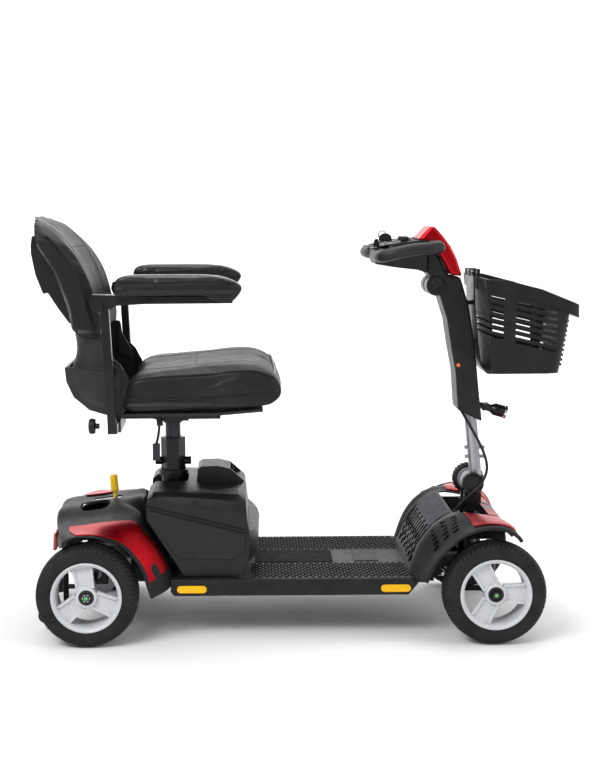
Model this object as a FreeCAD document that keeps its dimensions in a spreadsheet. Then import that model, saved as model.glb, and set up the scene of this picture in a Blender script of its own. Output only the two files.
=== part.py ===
import FreeCAD, Part

# A four-wheeled travel mobility scooter that comes apart for a car boot: front frame with the steered
# wheels and folding tiller, rear frame with the transaxle, lift-off battery pack, swivel seat on a post,
# flip-up armrests, folding backrest and lift-off basket.
# Row frame: +X forward, +Y to the rider's left, +Z up. The origin is on the ground below the middle of
# the overall box. Millimetres.
import math
import os

import Sketcher
from FreeCAD import Placement, Rotation, Vector

doc = FreeCAD.newDocument("mobility_scooter")
sheet = doc.addObject("Spreadsheet::Sheet", "D")
NODES = []
SIDES = (("right", -1), ("left", 1))

# ---------------------------------------------------------------- driving dimensions (the sheet "D")
DIMENSIONS = """
wheels
wheel_radius 111.5
rim_radius 74
rim_wall 7
rear_width 72
front_width 64
rear_track 214
front_track 216
rear_axle_x -482
front_axle_x 394
spoke_width 42
spoke_thick 12
spoke_inset 9
hub_radius 21
hub_bore 12
shaft_radius 8.5
stub_radius 8
running_gap 0.05
cap_radius 15.5
cap_thick 5
nut_radius 9
tip_wheel_radius 17
tip_wheel_x -587
tip_wheel_z 36
tip_wheel_track 120
frames
rail_width 30
rail_height 24
rail_y 60
rail_low 95
rear_rail_low 160
rear_rail_x -548
front_rail_end 286
kingpin_y 150
kingpin_radius 9
sleeve_radius 15
sleeve_low 128
sleeve_high 182
steer_x 372
stem_radius 12.5
steer_tube_radius 20
steer_tube_low 120
steer_tube_high 215
arm_length 60
arm_low 96
arm_thick 8
rod_eye_radius 9
rod_eye_thick 8
rod_gap 0.4
rod_pin_radius 4
rod_radius 3.6
gearbox_radius 52
gearbox_half 54
motor_radius 38
motor_end -345
deck
deck_rear -301
deck_front 226
deck_half 190
deck_top 134
deck_thick 14
rail_drop 26
rail_depth 24
reflector_length 65
reflector_height 18
reflector_thick 3
tiller
fold_x 380
fold_z 308
ear_radius 25
ear_in 18
ear_out 30
fold_pin_radius 6
fold_hub_radius 24
knob_radius 37
knob_thick 24
tube_radius 14
shroud_half 42
head_half 62
barrel_radius 22
barrel_x 292
barrel_z 761
grip_radius 13
seat
post_x -303.5
socket_radius 27
post_radius 17.5
post_low 180
post_top 451
spigot_radius 12
pan_low 486
pan_thick 14
pan_half 190
cushion_half 215
hinge_x -424
hinge_z 592
arm_pivot_x -440
arm_pivot_z 738
arm_y 240
arm_tube 20
receiver_z 466
receiver_x -429
battery
pack_half 168
pack_floor 136
""".strip().splitlines()


def fill_sheet():
    """One row a dimension: its name, its value and the alias that expressions use."""
    row = 1
    for line in DIMENSIONS:
        words = line.split()
        sheet.set(f"A{row}", words[0])
        if len(words) == 2:
            sheet.set(f"B{row}", words[1])
            sheet.setAlias(f"B{row}", words[0])
        row += 1
    doc.recompute()


def value(text):
    """The number that an expression gives, or the number itself."""
    return float(sheet.evalExpression(text)) if isinstance(text, str) else float(text)


# ---------------------------------------------------------------- small tools
def bind(item, **sizes):
    for name, text in sizes.items():
        if isinstance(text, str):
            item.setExpression(name, text)
        else:
            setattr(item, name, text)
    return item


def put(item, x=0.0, y=0.0, z=0.0, turn=None):
    """Places item, with every place that is an expression bound to the sheet."""
    item.Placement = Placement(Vector(value(x), value(y), value(z)), turn or Rotation())
    for letter, text in (("x", x), ("y", y), ("z", z)):
        if isinstance(text, str):
            item.setExpression("Placement.Base." + letter, text)
    return item


TURNS = {
    "Z": Rotation(),
    "X": Rotation(Vector(0, 1, 0), 90),
    "Y": Rotation(Vector(1, 0, 0), -90),
}


def box(name, length, width, height, x, y, z):
    """A box from its lowest corner."""
    item = doc.addObject("Part::Box", name)
    return put(bind(item, Length=length, Width=width, Height=height), x, y, z)


def cylinder(name, radius, height, x, y, z, axis="Z"):
    """A cylinder that starts at x, y, z and runs along +axis."""
    item = doc.addObject("Part::Cylinder", name)
    return put(bind(item, Radius=radius, Height=height), x, y, z, TURNS[axis])


def hexagon(name, radius, height, x, y, z, axis="Z"):
    item = doc.addObject("Part::Prism", name)
    item.Polygon = 6
    return put(bind(item, Circumradius=radius, Height=height), x, y, z, TURNS[axis])


def cut(name, base, *tools):
    item = doc.addObject("Part::Cut", name)
    item.Base = base
    item.Tool = tools[0] if len(tools) == 1 else fuse(name + "_tools", *tools)
    return item


def fuse(name, *items):
    item = doc.addObject("Part::MultiFuse", name)
    item.Shapes = list(items)
    return item


def group(name, *items):
    item = doc.addObject("Part::Compound", name)
    item.Links = list(items)
    return item


def node(label, item):
    """Keeps item as a sub-part of that name."""
    item.Label = label
    NODES.append(item)
    return item


def plane_of(body, role):
    return next(o for o in body.Origin.OriginFeatures if o.Role == role)


def draw(body, name, role, points, offset=0.0):
    """A closed sketch through points, whose coordinates are bound to the sheet where they are expressions."""
    sketch = body.newObject("Sketcher::SketchObject", name)
    sketch.AttachmentSupport = [(plane_of(body, role), "")]
    sketch.MapMode = "FlatFace"
    sketch.AttachmentOffset = Placement(Vector(0, 0, offset), Rotation())
    spots = [Vector(value(a), value(b), 0) for a, b in points]
    for i, spot in enumerate(spots):
        sketch.addGeometry(Part.LineSegment(spot, spots[(i + 1) % len(spots)]), False)
    for i in range(len(spots)):
        sketch.addConstraint(Sketcher.Constraint("Coincident", i, 2, (i + 1) % len(spots), 1))
    for i, (spot, texts) in enumerate(zip(spots, points)):
        for kind, amount, text in (("DistanceX", spot.x, texts[0]), ("DistanceY", spot.y, texts[1])):
            index = sketch.addConstraint(Sketcher.Constraint(kind, -1, 1, i, 1, amount))
            if isinstance(text, str):
                sketch.setExpression(f"Constraints[{index}]", text)
    return sketch


def pad(body, name, sketch, length):
    """A pad of that whole length, half of it on each side of the sketch."""
    item = body.newObject("PartDesign::Pad", name)
    item.Profile = sketch
    item.Midplane = True
    return bind(item, Length=length)


def profile_body(name, points, width):
    """A body with a side view outline, points in X and Z, as wide as width along Y."""
    body = doc.addObject("PartDesign::Body", name)
    pad(body, name + "_pad", draw(body, name + "_outline", "XZ_Plane", points), width)
    return body


def round_edges(body, radius, chosen):
    """A fillet on the edges of the body that chosen accepts."""
    doc.recompute()
    tip = body.Tip
    names = [f"Edge{i + 1}" for i, edge in enumerate(tip.Shape.Edges) if chosen(edge)]
    item = body.newObject("PartDesign::Fillet", body.Name + "_fillet" + str(len(body.Group)))
    item.Base = (tip, names)
    return bind(item, Radius=radius)


def runs_along_y(edge):
    box_of = edge.BoundBox
    return box_of.YLength > 1 and box_of.XLength < 0.01 and box_of.ZLength < 0.01


def on_side_face(edge):
    return edge.BoundBox.YLength < 0.01


def feature(name, shape):
    """A shape that Part's own functions made."""
    item = doc.addObject("Part::Feature", name)
    item.Shape = shape
    item.Placement = Placement()
    return item


def offset_line(points, amount):
    """The open outline points, in X and Z, moved to its right by amount."""
    moved = []
    for i, (x, z) in enumerate(points):
        before = points[max(i - 1, 0)]
        after = points[min(i + 1, len(points) - 1)]
        way = Vector(after[0] - before[0], after[1] - before[1], 0).normalize()
        moved.append((x + way.y * amount, z - way.x * amount))
    return moved


def band(points, y, thickness, lift=0.0):
    """The closed outline of a sheet of that thickness below an open outline, at y."""
    outer = offset_line(points, -lift) if lift else list(points)
    inner = offset_line(points, thickness - lift)
    ring = [Vector(a, y, b) for a, b in outer + inner[::-1]]
    return Part.makePolygon(ring + ring[:1])


def sheet_loft(stations, thickness, lift=0.0):
    """A moulded sheet that runs through an outline at each y: stations is a list of (y, points)."""
    wires = [band(points, y, thickness, lift) for y, points in stations]
    return Part.makeLoft(wires, True, True)


def rounded_path(points, share=0.45):
    """Straight runs joined by tangent arcs as large as the runs allow."""
    spots = [Vector(*p) for p in points]
    edges = []
    start = spots[0]
    for before, corner, after in zip(spots, spots[1:], spots[2:]):
        back = (before - corner).normalize()
        on = (after - corner).normalize()
        reach = share * min((before - corner).Length, (after - corner).Length)
        first = corner + back * reach
        last = corner + on * reach
        turn = math.pi - back.getAngle(on)
        radius = reach / math.tan(turn / 2)
        centre = corner + (back + on).normalize() * (radius / math.cos(turn / 2))
        middle = centre + (corner - centre).normalize() * radius
        edges.append(Part.LineSegment(start, first).toShape())
        edges.append(Part.Arc(first, middle, last).toShape())
        start = last
    edges.append(Part.LineSegment(start, spots[-1]).toShape())
    return Part.Wire(edges)


def pipe(points, radius, share=0.45):
    """A round bar along a rounded path, checked against its section times its length."""
    path = rounded_path(points, share)
    start = path.Edges[0].Vertexes[0].Point
    way = Vector(*points[1]) - Vector(*points[0])
    section = Part.Wire([Part.Circle(start, way, radius).toShape()])
    bar = path.makePipeShell([section], True, False)
    expected = math.pi * radius**2 * path.Length
    assert abs(bar.Volume / expected - 1) < 0.02, "a pipe lost part of itself"
    return bar


# ---------------------------------------------------------------- wheels
def tyre(name, width):
    """A solid rubber tyre: its section turned about the axle."""
    body = doc.addObject("PartDesign::Body", name)
    half = f"{width} / 2"
    right = [
        (f"{half} - 9", "D.rim_radius + 0.2"),
        (half, "D.rim_radius + 12"),
        (half, "D.wheel_radius - 22"),
        (f"{half} - 4", "D.wheel_radius - 10"),
        (f"{half} - 12", "D.wheel_radius - 3"),
        (f"{half} - 23", "D.wheel_radius"),
    ]
    left = [(f"-({y})", z) for y, z in reversed(right)]
    turned = body.newObject("PartDesign::Revolution", name + "_turn")
    turned.Profile = draw(body, name + "_section", "YZ_Plane", right + left)
    turned.ReferenceAxis = (turned.Profile[0], ["H_Axis"])
    return body


def rim(name, width):
    """A moulded three-spoke rim. Its outer side faces -Y."""
    body = doc.addObject("PartDesign::Body", name)
    hub = body.newObject("PartDesign::Revolution", name + "_hub")
    face = f"-{width} / 2 + D.spoke_inset"
    hub.Profile = draw(
        body,
        name + "_hub_section",
        "YZ_Plane",
        [(face, "D.hub_bore"), ("20", "D.hub_bore"), ("20", "D.hub_radius"), (face, "D.hub_radius")],
    )
    hub.ReferenceAxis = (hub.Profile[0], ["H_Axis"])
    half = "D.spoke_width / 2"
    flat = draw(
        body,
        name + "_spoke_outline",
        "XZ_Plane",
        [(f"-{half}", 17.0), (half, 17.0), (half, "D.rim_radius - 4"), (f"-{half}", "D.rim_radius - 4")],
    )
    flat.setExpression("AttachmentOffset.Base.z", f"{width} / 2 - D.spoke_inset - D.spoke_thick / 2")
    spoke = pad(body, name + "_spoke", flat, "D.spoke_thick")
    spokes = body.newObject("PartDesign::PolarPattern", name + "_spokes")
    spokes.Originals = [spoke]
    spokes.Axis = (plane_of(body, "Y_Axis"), [""])
    spokes.Angle = 360
    spokes.Occurrences = 3
    body.Tip = spokes
    wall = "D.rim_radius - D.rim_wall"
    side = f"{width} / 2 - 4"
    ring = body.newObject("PartDesign::Revolution", name + "_barrel")
    ring.Profile = draw(
        body,
        name + "_barrel_section",
        "YZ_Plane",
        [(f"-({side})", "D.rim_radius - 3"), (f"-({side})", "D.rim_radius"), (side, "D.rim_radius"), (side, wall), (f"-({side}) + 9", wall)],
    )
    ring.ReferenceAxis = (ring.Profile[0], ["H_Axis"])
    body.Tip = ring
    return body


def wheels():
    """Four wheels. Each body is drawn for the right side, so the left ones are turned round."""
    for end, axle, width, track, spoke in (
        ("rear", "D.rear_axle_x", "D.rear_width", "D.rear_track", -8.0),
        ("front", "D.front_axle_x", "D.front_width", "D.front_track", -30.0),
    ):
        for side, sign in SIDES:
            name = f"{end}_{{}}_{side}"
            place = (axle, f"{sign} * {track}", "D.wheel_radius")
            turn = Rotation(Vector(0, 0, 1), 0 if sign < 0 else 180)
            spin = Rotation(Vector(0, 1, 0), spoke)
            node(name.format("tyre"), put(tyre(name.format("tyre"), width), *place, turn))
            node(name.format("rim"), put(rim(name.format("rim"), width), *place, turn * spin))


def rear_axles():
    """A half shaft from the gearbox to each rear wheel, with the black hub cap and nut on it."""
    face = "(D.rear_track + D.rear_width / 2 - D.spoke_inset)"
    for side, sign in SIDES:
        name = "rear_axle_" + side
        inner = 22.0
        start = inner if sign > 0 else f"-{face} - D.cap_thick"
        shaft = cylinder(name + "_shaft", "D.shaft_radius", f"{face} + D.cap_thick - {inner}",
                         "D.rear_axle_x", start, "D.wheel_radius", "Y")
        sleeve_from = "D.rear_track - 16" if sign > 0 else f"-{face}"
        sleeve = cut(
            name + "_sleeve",
            cylinder(name + "_sleeve_body", "D.hub_bore - 0.05", f"{face} - D.rear_track + 16",
                     "D.rear_axle_x", sleeve_from, "D.wheel_radius", "Y"),
            cylinder(name + "_sleeve_bore", "D.shaft_radius", f"{face} - D.rear_track + 16",
                     "D.rear_axle_x", sleeve_from, "D.wheel_radius", "Y"),
        )
        cap_from = face if sign > 0 else f"-{face} - D.cap_thick"
        cap = cut(
            name + "_cap",
            cylinder(name + "_cap_disc", "D.cap_radius", "D.cap_thick",
                     "D.rear_axle_x", cap_from, "D.wheel_radius", "Y"),
            cylinder(name + "_cap_bore", "D.shaft_radius", "D.cap_thick",
                     "D.rear_axle_x", cap_from, "D.wheel_radius", "Y"),
        )
        nut_from = f"{face} + D.cap_thick" if sign > 0 else f"-{face} - 2 * D.cap_thick"
        nut = hexagon(name + "_nut", "D.nut_radius", "D.cap_thick",
                      "D.rear_axle_x", nut_from, "D.wheel_radius", "Y")
        node(name, group(name, shaft, sleeve, cap, nut))


def front_hubs():
    """Two ball bearings, drawn as rings, and the hub cap that turn with each front wheel."""
    face = "(D.front_track + D.front_width / 2 - D.spoke_inset)"
    for side, sign in SIDES:
        name = "front_hub_" + side
        pieces = []
        for label, low, length, radius in (
            ("inner_bearing", "D.front_track - 19", "9", "D.hub_bore - 0.05"),
            ("outer_bearing", f"{face} - 9", "9", "D.hub_bore - 0.05"),
            ("cap", face, "D.cap_thick", "D.cap_radius"),
        ):
            start = low if sign > 0 else f"-({low}) - {length}"
            disc = cylinder(f"{name}_{label}_ring", radius, length,
                            "D.front_axle_x", start, "D.wheel_radius", "Y")
            bore = cylinder(f"{name}_{label}_bore", "D.stub_radius + D.running_gap", length,
                            "D.front_axle_x", start, "D.wheel_radius", "Y")
            pieces.append(cut(f"{name}_{label}", disc, bore))
        node(name, group(name, *pieces))


# ---------------------------------------------------------------- steering
def knuckles():
    """Kingpin, block, stub axle, arm and tie-rod pin of each front wheel."""
    for side, sign in SIDES:
        name = "steering_knuckle_" + side
        y = f"{sign} * D.kingpin_y"
        block = box(name + "_block", 32, 32, "D.sleeve_low - 1 - 95", "D.front_axle_x - 16", f"{y} - 16", 95)
        kingpin = cylinder(name + "_kingpin", "D.kingpin_radius", "D.sleeve_high + 9 - 100",
                           "D.front_axle_x", y, 100)
        head = cylinder(name + "_kingpin_nut", 13, 8, "D.front_axle_x", y, "D.sleeve_high + 1")
        tip = "(D.front_track + D.front_width / 2 - D.spoke_inset + D.cap_thick + 1)"
        start = y if sign > 0 else f"-{tip}"
        stub = cylinder(name + "_stub", "D.stub_radius", f"{tip} - D.kingpin_y",
                        "D.front_axle_x", start, "D.wheel_radius", "Y")
        nut_from = tip if sign > 0 else f"-{tip} - 5"
        nut = hexagon(name + "_nut", "D.nut_radius", 5, "D.front_axle_x", nut_from, "D.wheel_radius", "Y")
        arm = box(name + "_arm", "D.arm_length", 16, "D.arm_thick",
                  "D.front_axle_x - D.arm_length", f"{y} - 8", "D.arm_low")
        end = cylinder(name + "_arm_end", 8, "D.arm_thick", "D.front_axle_x - D.arm_length", y, "D.arm_low")
        pin_low = "D.arm_low" if sign < 0 else "D.arm_low - D.rod_eye_thick - 1"
        pin = cylinder(name + "_rod_pin", "D.rod_pin_radius", "D.arm_thick + D.rod_eye_thick + 1",
                       "D.front_axle_x - D.arm_length", y, pin_low)
        node(name, fuse(name, block, kingpin, head, stub, nut, arm, end, pin))


def tie_rods():
    """The right rod lies above the arms and the left one below, both on the pitman arm's pin."""
    for side, sign in SIDES:
        name = "tie_rod_" + side
        low = "D.arm_low + D.arm_thick + D.rod_gap" if sign < 0 else "D.arm_low - D.rod_gap - D.rod_eye_thick"
        spots = (
            ("inner", "D.steer_x - D.arm_length", "0"),
            ("outer", "D.front_axle_x - D.arm_length", f"{sign} * D.kingpin_y"),
        )
        eyes = [cylinder(f"{name}_{e}", "D.rod_eye_radius", "D.rod_eye_thick", x, y, low) for e, x, y in spots]
        bores = [cylinder(f"{name}_{e}_bore", "D.rod_pin_radius + D.running_gap", "D.rod_eye_thick", x, y, low)
                 for e, x, y in spots]
        inner = Vector(value(spots[0][1]), 0, value(low) + value("D.rod_eye_thick / 2"))
        outer = Vector(value(spots[1][1]), sign * value("D.kingpin_y"), inner.z)
        way = outer - inner
        bar = cylinder(name + "_bar", "D.rod_radius", way.Length - 14, 0, 0, 0)
        bar.Placement = Placement(inner + way.normalize() * 7, Rotation(Vector(0, 0, 1), outer - inner))
        node(name, cut(name, fuse(name + "_whole", *eyes, bar), *bores))


def steering_stem():
    """The steered shaft: pitman arm below, fork for the fold joint on top."""
    z0 = "D.arm_low"
    shaft = cylinder("stem_shaft", "D.stem_radius", "246 - D.arm_low", "D.steer_x", 0, z0)
    arm = box("pitman_arm", "D.arm_length", 18, "D.arm_thick", "D.steer_x - D.arm_length", -9, z0)
    arm_end = cylinder("pitman_end", 9, "D.arm_thick", "D.steer_x - D.arm_length", 0, z0)
    reach = "D.arm_thick + 2 * D.rod_eye_thick + 4"
    pin = cylinder("pitman_pin", "D.rod_pin_radius", reach, "D.steer_x - D.arm_length", 0,
                   "D.arm_low - D.rod_eye_thick - 2")
    collar = cylinder("stem_collar", 17, 25, "D.steer_x", 0, 220)
    base = box("fork_base", 36, 48, 25, "D.steer_x - 17", -24, 243)
    parts = [shaft, arm, arm_end, pin, collar, base]
    for side, sign in SIDES:
        low = "D.ear_in" if sign > 0 else "-D.ear_out"
        parts.append(box("ear_" + side, 38, "D.ear_out - D.ear_in", "D.fold_z - 262", "D.fold_x - 19", low, 262))
        parts.append(cylinder("ear_disc_" + side, "D.ear_radius", "D.ear_out - D.ear_in",
                              "D.fold_x", low, "D.fold_z", "Y"))
    parts.append(cylinder("fold_pin", "D.fold_pin_radius", "2 * D.ear_out + D.knob_thick",
                          "D.fold_x", "-D.ear_out - 3", "D.fold_z", "Y"))
    parts.append(hexagon("fold_pin_head", 10, 4, "D.fold_x", "-D.ear_out - 4", "D.fold_z", "Y"))
    node("steering_stem", fuse("steering_stem", *parts))
    boot = cut(
        "boot",
        fuse(
            "boot_whole",
            cylinder("boot_disc", 30, 4, "D.steer_x", 0, 229),
            box("boot_tongue", 30, 38, 4, "D.steer_x - 38", -30, 229),
            cylinder("boot_gland", 7, 12, "D.steer_x - 32", -24, 229),
        ),
        cylinder("boot_hole", 17.2, 4, "D.steer_x", 0, 229),
    )
    node("steering_boot", boot)


# ---------------------------------------------------------------- tiller
TUBE_ROUTE = [(391, 0, 322), (361, 0, 640), (298, 0, 790)]


def tiller():
    """The mast: fold hub, bent tube, its cover, the console, the handles and what is fixed to them."""
    hub = cylinder("fold_hub", "D.fold_hub_radius", "2 * D.ear_in - 0.8", "D.fold_x", "-D.ear_in + 0.4",
                   "D.fold_z", "Y")
    mast = feature("mast_bar", pipe(TUBE_ROUTE, value("D.tube_radius")))
    bolts = [cylinder(f"mast_bolt_{i}", 4, 46, f"D.fold_x - {14 + i}", 0, f"D.fold_z + {58 + 21 * i}", "X")
             for i in range(2)]
    whole = fuse("mast_whole", hub, mast, *bolts)
    bore = cylinder("fold_bore", "D.fold_pin_radius + D.running_gap", 60, "D.fold_x", -30, "D.fold_z", "Y")
    node("tiller_mast", cut("tiller_mast", whole, bore))

    outline = [
        (270, 792), (270, 859), (280, 851), (299, 825), (312, 797), (321, 784.5), (347, 780),
        (366, 716), (380, 630), (389, 537), (398, 452), (360, 471), (344, 478), (342, 499),
        (337, 568), (327, 621), (318, 682), (304, 728), (286, 775),
    ]
    shell = profile_body("tiller_shell", [(float(x), float(z)) for x, z in outline], "2 * D.shroud_half")
    round_edges(shell, 5.0, on_side_face)
    channel = feature("mast_channel", pipe([(392.6, 0, 300)] + TUBE_ROUTE[1:], value("D.tube_radius + 0.4")))
    barrel_hole = cylinder("barrel_hole", "D.barrel_radius + 0.3", "2 * D.shroud_half + 8", "D.barrel_x",
                           "-D.shroud_half - 4", "D.barrel_z", "Y")
    node("tiller_shroud", cut("tiller_shroud", shell, channel, barrel_hole))

    barrel = cylinder("barrel", "D.barrel_radius - 2", "2 * D.shroud_half", "D.barrel_x",
                      "-D.shroud_half", "D.barrel_z", "Y")
    caps = [cylinder(f"barrel_cap_{side}", "D.barrel_radius", 6, "D.barrel_x",
                     "D.shroud_half" if sign > 0 else "-D.shroud_half - 6", "D.barrel_z", "Y")
            for side, sign in SIDES]
    passage = feature("mast_passage", pipe([(392.6, 0, 300)] + TUBE_ROUTE[1:], value("D.tube_radius + 0.4")))
    node("head_barrel", cut("head_barrel", fuse("head_barrel_whole", barrel, *caps), passage))


def console():
    outline = [(156, 811), (154, 839), (168, 853), (247, 863), (268.5, 863), (268.5, 791), (247, 798), (203, 803)]
    shell = profile_body("console_shell", [(float(x), float(z)) for x, z in outline], "2 * D.head_half")
    round_edges(shell, 8.0, lambda e: not on_side_face(e) and e.BoundBox.XMin < 170)
    slot = box("lever_slot", 50, "2 * D.head_half", 8, 150, "-D.head_half", 844)
    wells = [cylinder("dial_well", 6.5, 20, 221, -18, 855), cylinder("key_well", 3, 20, 179, -32, 851),
             cylinder("horn_well", 8.5, 20, 236, 30, 855)]
    node("console_housing", cut("console_housing", shell, slot, *wells))

    outline = [(262, 863), (283, 895), (305, 873), (322, 850), (336, 822), (349, 782), (322, 786), (301, 826),
               (281, 853)]
    cover = profile_body("cover_shell", [(float(x), float(z)) for x, z in outline], "2 * D.shroud_half + 30")
    round_edges(cover, 6.0, on_side_face)
    node("console_cover", cover)


GRIP_ROUTE = [
    (174, -62.3, 832), (156, -112, 831), (160, -190, 834), (216, -201, 847), (272, -192, 851), (282, -122, 851),
    (280, -57.3, 850),
]


def handlebar():
    """A closed grip loop at each side of the console."""
    loops = []
    for side, sign in SIDES:
        route = [(x, -sign * y, z) for x, y, z in GRIP_ROUTE]
        loops.append(feature("grip_" + side, pipe(route, value("D.grip_radius"))))
    node("handlebar", group("handlebar", *loops))


def controls():
    """What the rider's hands move: throttle lever, speed dial, key and horn button."""
    hub = cylinder("lever_hub", 13, 6, 178, 0, 845)
    post = cylinder("lever_post", 5, 2, 178, 0, 844)
    wings = []
    for side, sign in SIDES:
        wing = box("lever_wing_" + side, 16, 106, 4, 138, 4 if sign > 0 else -110, 846)
        wings.append(wing)
    bridge = box("lever_bridge", 30, 24, 4, 146, -12, 846)
    node("throttle_lever", fuse("throttle_lever", hub, post, bridge, *wings))

    dial = fuse("dial", cylinder("dial_cap", 12, 9, 221, -18, 863), cylinder("dial_stem", 6, 7, 221, -18, 856.5))
    node("speed_dial", dial)
    key = fuse("key", cylinder("key_blade", 2.5, 14, 179, -32, 853), box("key_bow", 26, 5, 18, 166, -34.5, 861))
    node("ignition_key", key)
    node("horn_button", cylinder("horn_button", 8, 10, 236, 30, 859))


def mast_brackets():
    """Basket carrier and headlight bracket, both bolted to the front of the mast cover."""
    plate = [(376, 792), (379, 720), (387, 632), (391, 598), (395, 580), (408, 565), (430, 564.5), (545, 564.5)]
    carrier = feature("basket_carrier", sheet_loft([(-50, plate), (50, plate)], 3))
    studs = [cylinder(f"carrier_stud_{i}", 5, length, x, 0, z, "X")
             for i, (length, x, z) in enumerate(((14, 365, 720), (9.5, 378.5, 632)))]
    foot = cylinder("light_foot", 7, 12, 393, 0, 484, "X")
    ears = [box(f"light_ear_{side}", 16, 3, 16, 404, 8 if sign > 0 else -11, 473) for side, sign in SIDES]
    bridge = box("light_bridge", 3, 22, 14, 404, -11, 474)
    pin = cylinder("light_pin", 3, 22, 414, -11, 480, "Y")
    node("mast_brackets", group("mast_brackets", carrier, *studs, fuse("light_bracket", foot, bridge, *ears, pin)))


def headlight():
    tongue = cylinder("light_tongue", 7, 15, 414, -7.5, 480, "Y")
    neck = cylinder("light_neck", 8, 16, 414, 0, 480, "X")
    barrel = cylinder("light_barrel", 14, 30, 426, 0, 480, "X")
    bezel = cylinder("light_bezel", 15, 5, 455, 0, 480, "X")
    body = cut("light_body", fuse("light_whole", tongue, neck, barrel, bezel),
               cylinder("light_bore", "3 + D.running_gap", 30, 414, -15, 480, "Y"),
               cylinder("light_mouth", 12, 6, 455, 0, 480, "X"))
    lens = cylinder("light_lens", 12, 2, 456, 0, 480, "X")
    dip = Rotation(Vector(0, 1, 0), 16)
    pivot = Vector(414, 0, 480)
    light = group("headlight", body, lens)
    light.Placement = Placement(pivot - dip.multVec(pivot), dip)
    node("headlight", light)


def basket():
    """A moulded basket, wider at the top, with a sloping rim and slots in three of its walls."""
    def section(x0, x1, half, z, corner):
        """A rectangle with large front corners and small rear ones."""
        solid = Part.makeBox(x1 - x0, 2 * half, 1, Vector(x0, -half, z))
        for radius, front in ((corner, True), (6.0, False)):
            upright = [e for e in solid.Edges
                       if e.BoundBox.ZLength > 0.5 and (e.BoundBox.XMin > (x0 + x1) / 2) == front
                       and (e.BoundBox.XMin > x1 - 1 or e.BoundBox.XMax < x0 + 1)]
            solid = solid.makeFillet(radius, upright)
        bottom = [f for f in solid.Faces if abs(f.CenterOfMass.z - z) < 1e-3]
        return bottom[0].OuterWire

    def across_the_basket(outline):
        wire = Part.makePolygon([Vector(x, -200, z) for x, z in outline + outline[:1]])
        return Part.Face(wire).extrude(Vector(0, 400, 0))

    wall = 3.0
    outer = Part.makeLoft([section(405, 552, 128, 572, 24), section(386, 588, 151, 800, 28)], True, True)
    inner = Part.makeLoft([section(405 + wall, 552 - wall, 128 - wall, 572 + wall, 21),
                           section(386 + wall, 588 - wall, 151 - wall, 801, 25)], True, True)
    rim_block = Part.makeLoft([section(392, 592, 148, 690, 29), section(383, 592, 154, 800, 29)], True, True)
    above = across_the_basket([(370, 781), (430, 778), (505, 758), (575, 729), (600, 718), (600, 900), (370, 900)])
    below = across_the_basket([(370, 753), (430, 750), (505, 730), (575, 701), (600, 690), (600, 560), (370, 560)])
    body = outer.fuse(rim_block.cut(below)).cut(inner)
    slots = []
    for row in range(7):
        drop = 14 * row
        for x, z, length in ((394, 739, 32), (451, 724, 92)):
            slot = Part.makeBox(length, 400, 6, Vector(x, -200, 0))
            slot.rotate(Vector(x, 0, 0), Vector(0, 1, 0), 14)
            slot.translate(Vector(0, 0, z - drop))
            slots.append(slot)
        slots += [Part.makeBox(60, 40, 6, Vector(545, y - 9, 684 - drop)) for y in (-92, -38, 16, 70)]
    body = body.cut(Part.makeCompound(slots)).cut(above)
    hooks = []
    for y in (-32, 18):
        over = Part.makeBox(24, 14, 3, Vector(368, y, 794))
        behind = Part.makeBox(3, 14, 14, Vector(368, y, 782))
        front = Part.makeBox(6, 14, 44, Vector(386, y, 752))
        hooks.append(over.fuse([behind, front]))
    node("basket", feature("basket", body.fuse(hooks).removeSplitter()))


CABLE_ROUTE = [
    (352, -25, 478), (368, -26, 450), (387, -27, 417), (404, -30, 382), (414, -33, 345), (402, -36, 312),
    (378, -37, 289), (355, -32, 265), (340, -24, 243.5),
]


def cable():
    """The loom between the mast cover and the gland on the steering boot."""
    node("wiring_loom", feature("wiring_loom", pipe(CABLE_ROUTE, 3.2)))


def lock_knob():
    """The fluted knob that clamps the fold joint."""
    y = "D.ear_out + 0.5"
    disc = cylinder("knob_disc", "D.knob_radius - 3", "D.knob_thick - 2", "D.fold_x", y, "D.fold_z", "Y")
    teeth = []
    count = 24
    for i in range(count):
        tooth = doc.addObject("Part::Box", f"knob_tooth_{i}")
        bind(tooth, Length=5, Width="D.knob_thick - 6", Height=4)
        turn = Rotation(Vector(0, 1, 0), i * 360 / count)
        spot = turn.multVec(Vector(value("D.knob_radius") - 5, 0, -2))
        tooth.Placement = Placement(spot + Vector(value("D.fold_x"), value(y) + 1, value("D.fold_z")), turn)
        teeth.append(tooth)
    bore = cylinder("knob_bore", "D.fold_pin_radius + D.running_gap", 40, "D.fold_x", "D.ear_out", "D.fold_z", "Y")
    node("fold_knob", cut("fold_knob", fuse("knob_whole", disc, *teeth), bore))


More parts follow.
